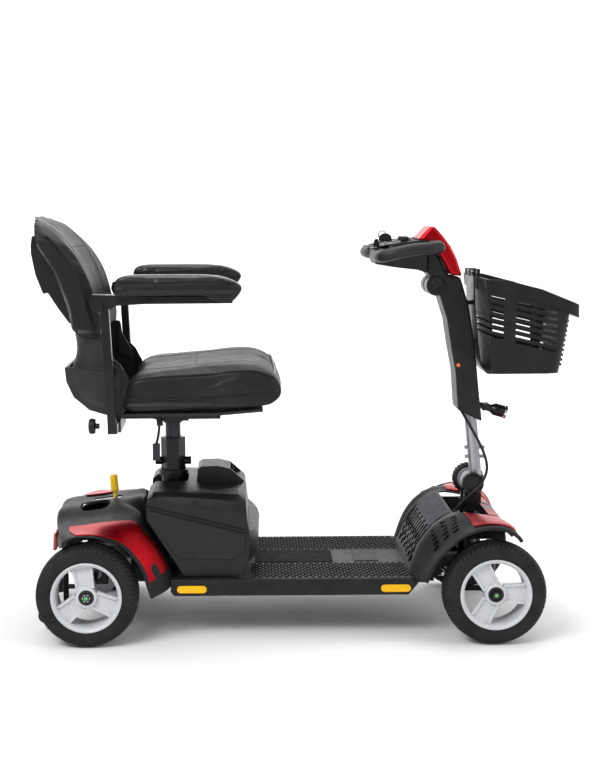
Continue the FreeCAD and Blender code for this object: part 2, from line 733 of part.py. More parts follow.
# ---------------------------------------------------------------- frames, deck and drive
def rear_frame():
    parts = []
    for side, sign in SIDES:
        y = f"{sign} * D.rail_y - 12.5 + {sign} * 12.5"
        parts.append(box("rear_rail_" + side, "-308 - D.rear_rail_x", 25, 25, "D.rear_rail_x", y, "D.rear_rail_low"))
        parts.append(box("drop_" + side, 25, 25, "D.rear_rail_low + 25 - 92", "-333", y, 92))
        parts.append(box("axle_plate_" + side, 60, 6, "D.rear_rail_low - 90", "D.rear_axle_x - 30",
                         f"{sign} * (D.rail_y + 3) - 3", 90))
        tip_y = f"{sign} * (D.tip_wheel_track - 14) - 4"
        parts.append(box("tip_arm_" + side, 50, 8, 10, "D.tip_wheel_x - 8", tip_y, "D.tip_wheel_z - 5"))
        parts.append(box("tip_leg_" + side, 12, 8, "D.rear_rail_low - D.tip_wheel_z + 5", "D.tip_wheel_x + 38",
                         tip_y, "D.tip_wheel_z - 5"))
    parts.append(box("rear_cross", 25, "2 * D.tip_wheel_track - 20", 25, "D.rear_rail_x",
                     "-D.tip_wheel_track + 10", "D.rear_rail_low"))
    parts.append(box("front_cross", 25, "2 * D.rail_y + 50", 25, "-350", "-D.rail_y - 25", "D.rear_rail_low"))
    bores = [cylinder("axle_window", "D.shaft_radius + 6", 200, "D.rear_axle_x", -100, "D.wheel_radius", "Y")]
    bores.append(cylinder("post_tube_seat", "D.socket_radius", 240, "D.post_x", 0, 92))
    bores.append(cylinder("tip_axle_hole", "4 + D.running_gap", 300, "D.tip_wheel_x", -150, "D.tip_wheel_z", "Y"))
    node("rear_frame", cut("rear_frame", fuse("rear_frame_whole", *parts), *bores))


def front_frame():
    parts = []
    for side, sign in SIDES:
        y = f"{sign} * D.rail_y - D.rail_width / 2"
        parts.append(box("front_rail_" + side, "D.front_rail_end + 306", "D.rail_width", "D.rail_height",
                         "-306", y, "D.rail_low"))
        neck_y = 24 if sign > 0 else -46
        parts.append(box("neck_" + side, "D.front_axle_x - 262", 22, 30, 262, neck_y, "D.rail_low + D.rail_height"))
        kingpin_y = f"{sign} * D.kingpin_y"
        parts.append(cylinder("sleeve_" + side, "D.sleeve_radius", "D.sleeve_high - D.sleeve_low",
                              "D.front_axle_x", kingpin_y, "D.sleeve_low"))
    for label, x in (("rear", "-270"), ("middle", "0"), ("front", "D.front_rail_end - 24")):
        parts.append(box("cross_" + label, 24, "2 * D.rail_y + D.rail_width", "D.rail_height", x,
                         "-D.rail_y - D.rail_width / 2", "D.rail_low"))
    parts.append(box("axle_beam", 28, "2 * D.kingpin_y - 14", 28, "D.front_axle_x - 14", "-D.kingpin_y + 7", 135))
    parts.append(box("head_block", 44, 92, 24, "D.steer_x - 20", -46, 125))
    parts.append(cylinder("steering_tube", "D.steer_tube_radius", "D.steer_tube_high - D.steer_tube_low",
                          "D.steer_x", 0, "D.steer_tube_low"))
    bores = [cylinder("kingpin_bore_" + side, "D.kingpin_radius + D.running_gap", 90, "D.front_axle_x",
                      f"{sign} * D.kingpin_y", 110) for side, sign in SIDES]
    bores.append(cylinder("steering_bore", "D.stem_radius + D.running_gap", 120, "D.steer_x", 0, 110))
    node("front_frame", cut("front_frame", fuse("front_frame_whole", *parts), *bores))


def drive():
    """Transaxle housing with the motor on its front, and the freewheel lever's shaft on top."""
    case = cylinder("gear_case", "D.gearbox_radius", "2 * D.gearbox_half", "D.rear_axle_x", "-D.gearbox_half",
                    "D.wheel_radius", "Y")
    neck = box("motor_neck", 60, 60, 60, "D.rear_axle_x + 20", -30, "D.wheel_radius - 30")
    bore = cylinder("shaft_bore", "D.shaft_radius + D.running_gap", "2 * D.gearbox_half + 2", "D.rear_axle_x",
                    "-D.gearbox_half - 1", "D.wheel_radius", "Y")
    motor = cylinder("motor_can", "D.motor_radius", "D.motor_end - D.rear_axle_x - 80", "D.rear_axle_x + 80", 0,
                     "D.wheel_radius + 5", "X")
    cheeks = [box("lever_cheek_" + side, 18, 6, 54, -441, 9 if sign > 0 else -15, 140) for side, sign in SIDES]
    pin = cylinder("lever_pin", 4, 30, -432, -15, 184, "Y")
    node("transaxle", cut("transaxle", fuse("gear_case_whole", case, neck, pin, *cheeks), bore))
    node("drive_motor", motor)
    lever = fuse("lever", cylinder("lever_rod", 4, 126, 0, 0, -112), cylinder("lever_grip", 9, 34, 0, 0, 0),
                 cylinder("lever_boss", 8, 14, 0, -7, -112, "Y"))
    whole = cut("freewheel_lever", lever, cylinder("lever_pivot_bore", 4.05, 20, 0, -10, -112, "Y"))
    whole.Placement = Placement(Vector(-439.8, 0, 295.7), Rotation(Vector(0, 1, 0), -4))
    node("freewheel_lever", whole)


def floor_pan():
    """The deck tray with a rounded bumper rail down each side."""
    body = doc.addObject("PartDesign::Body", "deck_tray")
    low = "D.deck_top - D.deck_thick"
    under = "D.deck_top - D.rail_drop"
    inner = "D.deck_half - D.rail_depth"
    outline = [("-D.deck_half", under), (f"-({inner})", under), (f"-({inner})", low), (inner, low),
               (inner, under), ("D.deck_half", under), ("D.deck_half", "D.deck_top"),
               ("-D.deck_half", "D.deck_top")]
    section = draw(body, "deck_section", "YZ_Plane", outline)
    section.setExpression("AttachmentOffset.Base.z", "(D.deck_front + D.deck_rear) / 2")
    pad(body, "deck_pad", section, "D.deck_front - D.deck_rear")

    def long_outer(edge):
        middle = edge.BoundBox.Center
        return edge.BoundBox.XLength > 300 and abs(middle.y) > value("D.deck_half") - 1

    round_edges(body, 9.0, long_outer)
    notch = box("socket_notch", 40, 70, 60, "D.deck_rear - 10", -35, 100)
    node("floor_pan", cut("floor_pan", body, notch))


def reflectors():
    """Amber reflectors along the deck and red ones on the tail."""
    lights = []
    for side, sign in SIDES:
        y = "D.deck_half" if sign > 0 else "-D.deck_half - D.reflector_thick"
        for label, x in (("rear", "D.deck_rear + 11"), ("front", "D.deck_front - D.reflector_length - 7")):
            lights.append(box(f"reflector_{label}_{side}", "D.reflector_length", "D.reflector_thick",
                              "D.reflector_height", x, y, "D.deck_top - D.rail_drop + 3"))
        lights.append(box("tail_lamp_" + side, 6, 44, 34, -560, f"{sign} * 140 - 22", 194))
    node("reflectors", group("reflectors", *lights))


# ---------------------------------------------------------------- body shells
# Outlines in X and Z at the widths where the moulding changes, from rear to front over the top.
REAR_SPINE = [(-560, 192), (-566, 226), (-562, 248), (-546, 257), (-505, 262), (-454, 268), (-404, 274), (-368, 277),
              (-364, 255), (-363, 235), (-363, 215), (-363, 200)]
REAR_SHOULDER = [(-550, 192), (-554, 224), (-548, 242), (-530, 250), (-497, 254), (-452, 261), (-404, 268),
                 (-374, 268), (-354, 240), (-332, 207), (-312, 168), (-302, 136)]
REAR_BROW = [(-545, 205), (-548, 224), (-540, 238), (-522, 243), (-492, 246), (-450, 251), (-408, 252), (-382, 247),
             (-360, 226), (-336, 196), (-314, 156), (-304, 118)]
REAR_LIP = [(-534, 222), (-533, 231), (-522, 238), (-502, 243), (-476, 243.5), (-452, 240), (-425, 231), (-400, 216),
            (-378, 192), (-362, 165), (-352, 135), (-342, 106)]
REAR_STATIONS = [(0, REAR_SPINE), (60, REAR_SPINE), (118, REAR_SHOULDER), (190, REAR_BROW), (236, REAR_LIP)]

FRONT_RIDGE = [(216, 120), (230, 152), (247, 195), (270, 227), (293, 247), (316, 259), (342, 261), (372, 256),
               (402, 252), (424, 246), (440, 228), (454, 207)]
FRONT_CREST = [(212, 112), (225, 154), (242, 199), (265, 232), (290, 252), (315, 263), (344, 264), (374, 260),
               (402, 256), (424, 250), (438, 241), (446, 232)]
FRONT_BROW = [(234, 130), (243, 152), (257, 180), (276, 208), (298, 231), (322, 246), (350, 254), (380, 258),
              (406, 257), (426, 252), (438, 245), (445, 236)]
FRONT_LIP = [(246, 138), (252, 152), (264, 176), (281, 200), (303, 222), (327, 239), (353, 250), (381, 254.5),
             (405, 253), (424, 247), (438, 236), (445, 221)]
FRONT_STATIONS = [(0, FRONT_RIDGE), (116, FRONT_RIDGE), (150, FRONT_CREST), (206, FRONT_BROW), (236, FRONT_LIP)]


def both_sides(stations):
    return [(-y, line) for y, line in reversed(stations) if y] + stations


def rear_shell():
    shell = sheet_loft(both_sides(REAR_STATIONS), 3.5)
    holes = []
    for sign in (-1, 1):
        hole = Part.makeBox(66, 62, 80, Vector(-512, 24 if sign > 0 else -86, 240))
        upright = [e for e in hole.Edges if e.BoundBox.ZLength > 70]
        holes.append(hole.makeFillet(20, upright))
    lever_slot = Part.makeBox(64, 22, 80, Vector(-487, -11, 220))
    node("rear_shroud", feature("rear_shroud", shell.cut(holes + [lever_slot])))
    panels = [fender_panel(sign) for sign in (-1, 1)]
    node("rear_fender_panels", group("rear_fender_panels", *panels))


def between(first, second, share):
    """The outline a share of the way from one outline to another."""
    return [(a + (c - a) * share, b + (d - b) * share) for (a, b), (c, d) in zip(first, second)]


def fender_panel(sign):
    """The coloured skin over one rear fender, a little above the shroud."""
    (y0, inner), (y1, brow), (y2, lip) = REAR_STATIONS[2:]
    stations = [
        (sign * (y0 + 0.3 * (y1 - y0)), between(inner, brow, 0.3)[3:11]),
        (sign * y1, brow[3:11]),
        (sign * (y1 + 0.85 * (y2 - y1)), between(brow, lip, 0.85)[3:11]),
    ]
    side = "left" if sign > 0 else "right"
    return feature("fender_panel_" + side, sheet_loft(stations, 2.2, 2.8))


def front_shell():
    """The front shroud with a well round the steering column, and the two coloured panels in front of it."""
    shell = sheet_loft(both_sides(FRONT_STATIONS), 3.5)
    x0, x1, half, low, high = 322, 408, 110, 218, 280
    room = Part.makeBox(x1 - x0, 2 * half, high - low, Vector(x0, -half, low + 3))
    tub = Part.makeBox(x1 - x0 + 6, 2 * half + 6, 30, Vector(x0 - 3, -half - 3, low))
    column = Part.makeCylinder(24, 100, Vector(value("D.steer_x"), 0, 180))
    deck_end = Part.makeBox(30, 381, 60, Vector(197, -190.5, 75))
    shell = shell.cut([room, deck_end])
    node("front_shroud", feature("front_shroud", shell.fuse(tub.cut(room)).cut(column)))
    panels = []
    for sign in (-1, 1):
        crest, brow, lip = (line[6:] for line in (FRONT_CREST, FRONT_BROW, FRONT_LIP))
        ridge = [(x, z) for x, z in between(FRONT_RIDGE, FRONT_CREST, 0.2)[6:]]
        stations = [(sign * 122, ridge), (sign * 150, crest), (sign * 206, brow),
                    (sign * 226, between(brow, lip, 0.67))]
        side = "left" if sign > 0 else "right"
        panels.append(feature("hood_panel_" + side, sheet_loft(stations, 2.2, 2.8)))
    node("front_panels", group("front_panels", *panels))


# ---------------------------------------------------------------- battery pack
def battery():
    """The lift-off pack: case, lid with its carrying handle and the two batteries inside."""
    lower = [(-296, 170), (-275, "D.pack_floor"), (-153, "D.pack_floor"), (-134, 166), (-131, 234.0), (-356, 291.0),
             (-356, 262)]
    case = profile_body("pack_case", lower, "2 * D.pack_half")
    round_edges(case, 12.0, lambda e: runs_along_y(e) and e.BoundBox.ZMax < 175)
    notch = box("post_notch", 95, 84, 260, -361, -42, 120)
    rooms = [box("cell_room_" + side, 100, 150, 100, -262, 8 if sign > 0 else -158, 142) for side, sign in SIDES]
    bow = feature("case_bow", bowed_front([(-134, 166), (-131, 234)], 24))
    node("battery_case", fuse("battery_case", cut("case_hollowed", case, notch, *rooms), bow))

    seam = ((-356, 292), (-131, 235))
    crown = [(-138, 304), (-154, 317), (-250, 321), (-341, 321), (-354, 311)]
    stations = []
    for y, share in ((168, 0.5), (160, 0.78), (142, 0.93), (104, 1.0), (0, 1.05)):
        line = list(seam)
        for x, z in crown:
            base = seam[0][1] + (seam[1][1] - seam[0][1]) * (x - seam[0][0]) / (seam[1][0] - seam[0][0])
            line.append((x, base + (z - base) * share))
        stations.append((y, line))
    wires = [Part.makePolygon([Vector(x, y, z) for x, z in line + line[:1]])
             for y, line in [(-y, line) for y, line in stations[:-1]] + stations[::-1]]
    lid = feature("lid_body", Part.makeLoft(wires, True, True))
    notch_high = box("post_notch_high", 92, 84, 260, -361, -42, 120)
    top = profile_body("pack_handle", [(-250, 314.0), (-246, 350), (-238, 356), (-200, 357), (-172, 350), (-141, 322),
                                       (-146, 314)], 92.0)
    hand_room = box("hand_room", 56, 76, 30, -222, -38, 320)
    hand_mouth = box("hand_mouth", 70, 76, 16, -200, -38, 328)
    scoop = cut("pack_scoop", top, hand_room, hand_mouth)
    node("battery_lid", fuse("battery_lid", cut("lid_notched", lid, notch_high), scoop))
    cells = [box("cell_" + side, 98, 148, 96, -261, 9 if sign > 0 else -157, 143) for side, sign in SIDES]
    node("battery_cells", group("battery_cells", *cells))


def bowed_front(line, bulge):
    """A bowed cover on the front of the pack, thickest in the middle of its width."""
    wires = []
    half = value("D.pack_half")
    for share in (-1, -0.75, -0.4, 0, 0.4, 0.75, 1):
        reach = 0.5 + bulge * (1 - share**2)
        ring = [Vector(x, share * half, z) for x, z in line]
        ring += [Vector(x + reach, share * half, z) for x, z in line[::-1]]
        wires.append(Part.makePolygon(ring + ring[:1]))
    return Part.makeLoft(wires, True, True)


# ---------------------------------------------------------------- seat
def seat_mount():
    """Post socket on the frame, sliding post, swivel bracket and release lever."""
    tube = cylinder("socket_tube", "D.socket_radius", 240, "D.post_x", 0, 92)
    flange = cylinder("socket_flange", 33.5, 12, "D.post_x", 0, 331)
    collar = hexagon("socket_collar", 28, 74, "D.post_x", 0, 343)
    bolts = [cylinder(f"socket_knob_{i}", 9, 16, f"D.post_x + {x}", 0, 362, "X") for i, x in enumerate((-41, 25))]
    bore = cylinder("socket_bore", "D.post_radius + D.running_gap", 300, "D.post_x", 0, 150)
    node("seat_socket", cut("seat_socket", fuse("socket_whole", tube, flange, collar, *bolts), bore))
    post = fuse("seat_post", cylinder("post_bar", "D.post_radius", "D.post_top - D.post_low", "D.post_x", 0, "D.post_low"),
                cylinder("post_spigot", "D.spigot_radius", 14, "D.post_x", 0, "D.post_top"))
    node("seat_post", post)
    hub = cylinder("swivel_hub", 22, 16, "D.post_x", 0, "D.post_top + 0.5")
    plate = box("swivel_plate", 150, 120, "D.pan_low - 468", "D.post_x - 40", -60, 467)
    ears = box("swivel_ears", 74, 44, 10, "D.post_x - 37", -22, 457)
    hole = cylinder("swivel_bore", "D.spigot_radius + D.running_gap", 16, "D.post_x", 0, "D.post_top")
    receivers = []
    for side, sign in SIDES:
        y = 52 if sign > 0 else -192
        sleeve = box("receiver_" + side, "D.arm_tube + 6", 140, "D.arm_tube + 11", "D.receiver_x - 3", y,
                     "D.receiver_z - 6")
        room = box("receiver_room_" + side, "D.arm_tube + 0.6", 142, "D.arm_tube + 0.6", "D.receiver_x - 0.3",
                   "51" if sign > 0 else "-193", "D.receiver_z - 0.3")
        receivers.append(cut("receiver_tube_" + side, sleeve, room))
    back = box("receiver_bridge", 100, 100, "D.pan_low - 468", "D.receiver_x - 6", -50, 467)
    ear = box("lever_ear", 14, 5, 22, -337, -60, 452)
    pin = cylinder("lever_pivot", 3, 18, -330, -73, 461, "Y")
    whole = fuse("swivel_whole", hub, plate, ears, back, ear, pin, *receivers)
    node("swivel_bracket", cut("swivel_bracket", whole, hole))
    rod = feature("lever_bar", pipe([(-330, -64, 461), (-333, -68, 432), (-338, -70, 412)], 3.0))
    paddle = box("lever_paddle", 16, 14, 38, -346, -77, 376)
    eye = cylinder("lever_eye", 7, 8, -330, -68.5, 461, "Y")
    bore = cylinder("lever_eye_bore", "3 + D.running_gap", 30, -330, -80, 461, "Y")
    node("swivel_lever", cut("swivel_lever", fuse("swivel_lever_whole", rod, paddle, eye), bore))


def seat_base():
    """Moulded seat pan with the bowl that rises behind the backrest, and the cushion on it."""
    bowl_line = [(-519, 602), (-516, 572), (-502, 541), (-470, 514), (-440, 505), (-404, 500), (-300, 500), (-200, 500),
                 (-100, 508)]
    outer = [(-190, bowl_line), (-120, bowl_line), (120, bowl_line), (190, bowl_line)]
    pan = sheet_loft(outer, 6)
    walls = []
    wall_line = bowl_line[:6] + [(-404, 560), (-440, 602)]
    for y in (-191, 186):
        ring = [Vector(x, y, z) for x, z in wall_line]
        walls.append(Part.Face(Part.makePolygon(ring + ring[:1])).extrude(Vector(0, 5, 0)))
    pan = pan.fuse(walls)
    pivots = []
    for sign in (-1, 1):
        y = 186 if sign > 0 else -196
        ear = Part.makeBox(36, 10, 96, Vector(-442, y, 506))
        disc = Part.makeCylinder(18, 10, Vector(value("D.hinge_x"), y, value("D.hinge_z")), Vector(0, 1, 0))
        pin = Part.makeCylinder(5, 30, Vector(value("D.hinge_x"), 174 if sign > 0 else -204, value("D.hinge_z")),
                                Vector(0, 1, 0))
        pivots += [ear, disc, pin]
    node("seat_pan", feature("seat_pan", pan.fuse(pivots)))

    side = [(-398, 507), (-398, 568), (-372, 578), (-300, 586), (-220, 595), (-150, 600), (-105, 597), (-76, 585),
            (-58, 562), (-54, 540), (-68, 525), (-100, 515), (-200, 507)]
    edge = [(-396, 507), (-396, 560), (-370, 571), (-300, 579), (-220, 588), (-150, 593), (-108, 590), (-80, 578),
            (-64, 558), (-60, 540), (-72, 526), (-103, 516), (-200, 507)]
    middle = [(-392, 507), (-392, 562), (-370, 570), (-300, 577), (-220, 585), (-150, 590), (-105, 588), (-74, 578),
              (-52, 560), (-48, 540), (-62, 525), (-98, 515), (-200, 507)]
    stations = [(-212, edge), (-186, side), (-120, side), (-50, middle), (50, middle), (120, side), (186, side),
                (212, edge)]
    wires = [Part.makePolygon([Vector(x, y, z) for x, z in line + line[:1]]) for y, line in stations]
    node("seat_cushion", feature("seat_cushion", Part.makeLoft(wires, True, True)))


BACK_FRONT = [(-438, 672), (-453, 736), (-473, 801), (-503, 854), (-545, 897), (-574, 915)]
BACK_REAR = [(-505, 668), (-515, 726), (-530, 800), (-548, 842), (-572, 880), (-589, 903)]
SHELL_THICK = 8


def across(front, rear, half, front_dip, rear_dip):
    """A slab between two outlines that both lie further back in the middle of its width."""
    wires = []
    for share in (-1, -0.8, -0.45, 0, 0.45, 0.8, 1):
        dip = 1 - share**2
        ring = [Vector(x - front_dip * dip, share * half, z) for x, z in front]
        ring += [Vector(x - rear_dip * dip, share * half, z) for x, z in rear[::-1]]
        wires.append(Part.makePolygon(ring + ring[:1]))
    return Part.makeLoft(wires, True, True)


def backrest():
    """Upholstery on a moulded back shell, whose waisted neck turns on the hinge pins of the seat pan."""
    split = offset_line(BACK_REAR, SHELL_THICK)
    cushion_back = offset_line(BACK_REAR, SHELL_THICK + 0.5)
    node("back_cushion", feature("back_cushion", across(BACK_FRONT, cushion_back, 202, 30, 8)))
    shell = across(split, BACK_REAR, 202, 8, 8)
    outline = [(-507, 668), (-502, 641), (-508, 613), (-514, 592), (-440, 592), (-440, 668)]
    ring = [Vector(x, -182, z) for x, z in outline]
    neck = Part.Face(Part.makePolygon(ring + ring[:1])).extrude(Vector(0, 364, 0))
    room = Part.makeBox(80, 352, 110, Vector(-495, -176, 580))
    neck = neck.cut(room)
    shelf = Part.makeBox(50, 352, 5, Vector(-507, -176, 663))
    arms = []
    for sign in (-1, 1):
        y = 176 if sign > 0 else -182
        spots = ((-440, 582), (-412, 582), (-414, 604), (-440, 640))
        ring = [Vector(x, y, z) for x, z in spots]
        arms.append(Part.Face(Part.makePolygon(ring + ring[:1])).extrude(Vector(0, 6, 0)))
    pin_room = Part.makeCylinder(5.06, 500, Vector(value("D.hinge_x"), -250, value("D.hinge_z")), Vector(0, 1, 0))
    whole = shell.fuse([neck, shelf] + arms).cut(pin_room)
    node("back_shell", feature("back_shell", whole))


def armrests():
    for side, sign in SIDES:
        name = "armrest_{}_" + side
        y = f"{sign} * D.arm_y - D.arm_tube / 2"
        lean = 2.7
        rise = value("D.arm_pivot_z") - value("D.receiver_z") + 4
        upright = doc.addObject("Part::Box", name.format("upright") + "_bar")
        bind(upright, Length="D.arm_tube - 2", Width="D.arm_tube", Height=rise)
        foot = Vector(value("D.receiver_x") + 1, value(y), value("D.receiver_z"))
        upright.Placement = Placement(foot, Rotation(Vector(0, 1, 0), -lean))
        start = f"{sign} * D.arm_y - D.arm_tube / 2" if sign < 0 else "70"
        bar = box(name.format("bar"), "D.arm_tube", "D.arm_y - 70 + D.arm_tube / 2", "D.arm_tube",
                  "D.receiver_x", start, "D.receiver_z")
        eye = cylinder(name.format("eye"), 12, "D.arm_tube", "D.arm_pivot_x", y, "D.arm_pivot_z", "Y")
        pin = cylinder(name.format("pin"), 5, "D.arm_tube + 12", "D.arm_pivot_x", f"{y} - 6", "D.arm_pivot_z", "Y")
        node(f"armrest_upright_{side}", fuse(name.format("upright"), upright, bar, eye, pin))

        cheeks = []
        outline = [(-458, 758), (-458, 728), (-430, 726), (-405, 738), (-345, 742), (-345, 758)]
        for label, where in (("outer", 13.5), ("inner", -13.5)):
            cheek = profile_body(f"{name.format(label)}_cheek", [(float(a), float(b)) for a, b in outline], 5.0)
            cheeks.append(put(cheek, 0, f"{sign} * (D.arm_y + {where})", 0))
        top = box(name.format("top"), 36, 32, 3, -404, f"{sign} * D.arm_y - 16", 755)
        rail = box(name.format("rail"), 240, 32, 14, -396, f"{sign} * D.arm_y - 16", 742)
        bore = cylinder(name.format("bore"), 5.05, 60, "D.arm_pivot_x", f"{sign} * D.arm_y - 30", "D.arm_pivot_z", "Y")
        frame = cut(name.format("rail_whole"), fuse(name.format("rail_parts"), *cheeks, top, rail), bore)
        pad_box = box(name.format("pad"), 266, 54, 42, -408, f"{sign} * (D.arm_y + 14) - 27", 758.3)
        node(f"armrest_{side}", group(f"armrest_{side}", frame, pad_box))


def knobs_and_tips():
    """Anti-tip wheels on one axle."""
    y = "D.tip_wheel_track"
    axle = cylinder("tip_axle", 4, f"2 * {y} + 8", "D.tip_wheel_x", f"-{y} - 4", "D.tip_wheel_z", "Y")
    discs = [cylinder("tip_wheel_" + side, "D.tip_wheel_radius", 14, "D.tip_wheel_x",
                      f"{sign} * D.tip_wheel_track - 7", "D.tip_wheel_z", "Y") for side, sign in SIDES]
    node("anti_tip_wheels", fuse("anti_tip_wheels", axle, *discs))


def main():
    fill_sheet()
    for build in (wheels, rear_axles, front_hubs, knuckles, tie_rods, steering_stem, tiller, console, handlebar,
                  controls, mast_brackets, headlight, basket, cable, lock_knob, rear_frame, front_frame, drive,
                  floor_pan, reflectors, rear_shell, front_shell, battery, seat_mount, seat_base, backrest, armrests,
                  knobs_and_tips):
        build()
    doc.recompute()
    faulty = [o.Name for o in doc.Objects if "Invalid" in o.State or "Error" in o.State]
    faulty += [o.Label for o in NODES if o.Shape.isNull() or not o.Shape.isValid()]
    if faulty:
        raise RuntimeError(f"these did not build: {faulty}")
    os.makedirs("parts", exist_ok=True)
    for item in NODES:
        item.Shape.exportStep(f"parts/{item.Label}.step")
    print(len(NODES), "nodes")


main()
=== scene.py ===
import math

import bmesh
import bpy
from mathutils import Matrix, Vector
from mathutils.bvhtree import BVHTree
from mathutils.kdtree import KDTree


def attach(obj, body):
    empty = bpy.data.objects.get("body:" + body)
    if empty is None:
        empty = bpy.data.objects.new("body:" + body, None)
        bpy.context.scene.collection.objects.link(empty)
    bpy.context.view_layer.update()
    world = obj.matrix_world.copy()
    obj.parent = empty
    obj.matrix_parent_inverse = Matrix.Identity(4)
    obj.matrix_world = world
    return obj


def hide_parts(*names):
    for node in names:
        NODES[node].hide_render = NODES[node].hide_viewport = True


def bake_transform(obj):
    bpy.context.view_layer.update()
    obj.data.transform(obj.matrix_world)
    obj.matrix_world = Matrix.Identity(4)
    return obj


# Travel mobility scooter. Helpers take millimetres in the row frame: +X forward, +Y left, +Z up.
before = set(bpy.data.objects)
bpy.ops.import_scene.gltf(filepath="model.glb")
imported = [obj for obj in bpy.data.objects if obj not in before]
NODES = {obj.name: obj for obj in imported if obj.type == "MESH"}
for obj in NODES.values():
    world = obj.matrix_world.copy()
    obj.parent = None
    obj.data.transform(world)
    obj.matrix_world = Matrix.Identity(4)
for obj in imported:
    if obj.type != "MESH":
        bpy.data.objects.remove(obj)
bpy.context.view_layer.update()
SCENE = bpy.context.scene
SIDES = (("right", -1), ("left", 1))


# ---------------------------------------------------------------- materials
def material(name, base, rough, metal=0.0, coat=0.0, grain=None, mottle=0.12, mottle_scale=30,
             rough_change=0.12, flakes=0.0, wave=None, shine=0.5):
    """A principled material with noise in its colour and roughness, and a bump of grain or moulded ribs."""
    mat = bpy.data.materials.new(name)
    mat.use_nodes = True
    tree = mat.node_tree
    shader = tree.nodes["Principled BSDF"]
    shader.inputs["Metallic"].default_value = metal
    shader.inputs["Coat Weight"].default_value = coat
    shader.inputs["Coat Roughness"].default_value = 0.06
    shader.inputs["Specular IOR Level"].default_value = shine
    where = tree.nodes.new("ShaderNodeTexCoord")

    def noise(scale, detail=4.0):
        node = tree.nodes.new("ShaderNodeTexNoise")
        node.inputs["Scale"].default_value = scale
        node.inputs["Detail"].default_value = detail
        tree.links.new(where.outputs["Object"], node.inputs["Vector"])
        return node

    cloud = noise(mottle_scale)
    ramp = tree.nodes.new("ShaderNodeValToRGB")
    ramp.color_ramp.elements[0].position = 0.3
    ramp.color_ramp.elements[1].position = 0.72
    ramp.color_ramp.elements[0].color = [c * (1 - mottle) for c in base] + [1]
    ramp.color_ramp.elements[1].color = [min(1, c * (1 + mottle) + 0.004) for c in base] + [1]
    tree.links.new(cloud.outputs["Fac"], ramp.inputs["Fac"])
    colour = ramp.outputs["Color"]
    if flakes:
        cells = tree.nodes.new("ShaderNodeTexVoronoi")
        cells.inputs["Scale"].default_value = 1400
        tree.links.new(where.outputs["Object"], cells.inputs["Vector"])
        mix = tree.nodes.new("ShaderNodeMixRGB")
        mix.blend_type = "ADD"
        mix.inputs["Fac"].default_value = flakes
        tree.links.new(colour, mix.inputs["Color1"])
        tree.links.new(cells.outputs["Color"], mix.inputs["Color2"])
        colour = mix.outputs["Color"]
    tree.links.new(colour, shader.inputs["Base Color"])
    spread = tree.nodes.new("ShaderNodeMapRange")
    spread.inputs["To Min"].default_value = max(0.02, rough - rough_change)
    spread.inputs["To Max"].default_value = min(1.0, rough + rough_change)
    tree.links.new(noise(mottle_scale * 2.3, 6.0).outputs["Fac"], spread.inputs["Value"])
    tree.links.new(spread.outputs["Result"], shader.inputs["Roughness"])
    height = None
    if grain:
        kind, scale, strength = grain
        if kind == "cells":
            source = tree.nodes.new("ShaderNodeTexVoronoi")
            source.feature = "DISTANCE_TO_EDGE"
            source.inputs["Scale"].default_value = scale
            tree.links.new(where.outputs["Object"], source.inputs["Vector"])
            height = source.outputs["Distance"]
        elif kind == "brushed":
            source = noise(scale)
            squeeze = tree.nodes.new("ShaderNodeMapping")
            squeeze.inputs["Scale"].default_value = (1, 1, 0.05)
            tree.links.new(where.outputs["Object"], squeeze.inputs["Vector"])
            tree.links.new(squeeze.outputs["Vector"], source.inputs["Vector"])
            height = source.outputs["Fac"]
        else:
            height = noise(scale).outputs["Fac"]
    if wave:
        band = tree.nodes.new("ShaderNodeTexWave")
        band.bands_direction = wave[0]
        band.inputs["Scale"].default_value = wave[1]
        tree.links.new(where.outputs["Object"], band.inputs["Vector"])
        height = band.outputs["Fac"]
        strength = wave[2]
    if height:
        bump = tree.nodes.new("ShaderNodeBump")
        bump.inputs["Strength"].default_value = strength
        bump.inputs["Distance"].default_value = 0.0006
        tree.links.new(height, bump.inputs["Height"])
        tree.links.new(bump.outputs["Normal"], shader.inputs["Normal"])
    return mat


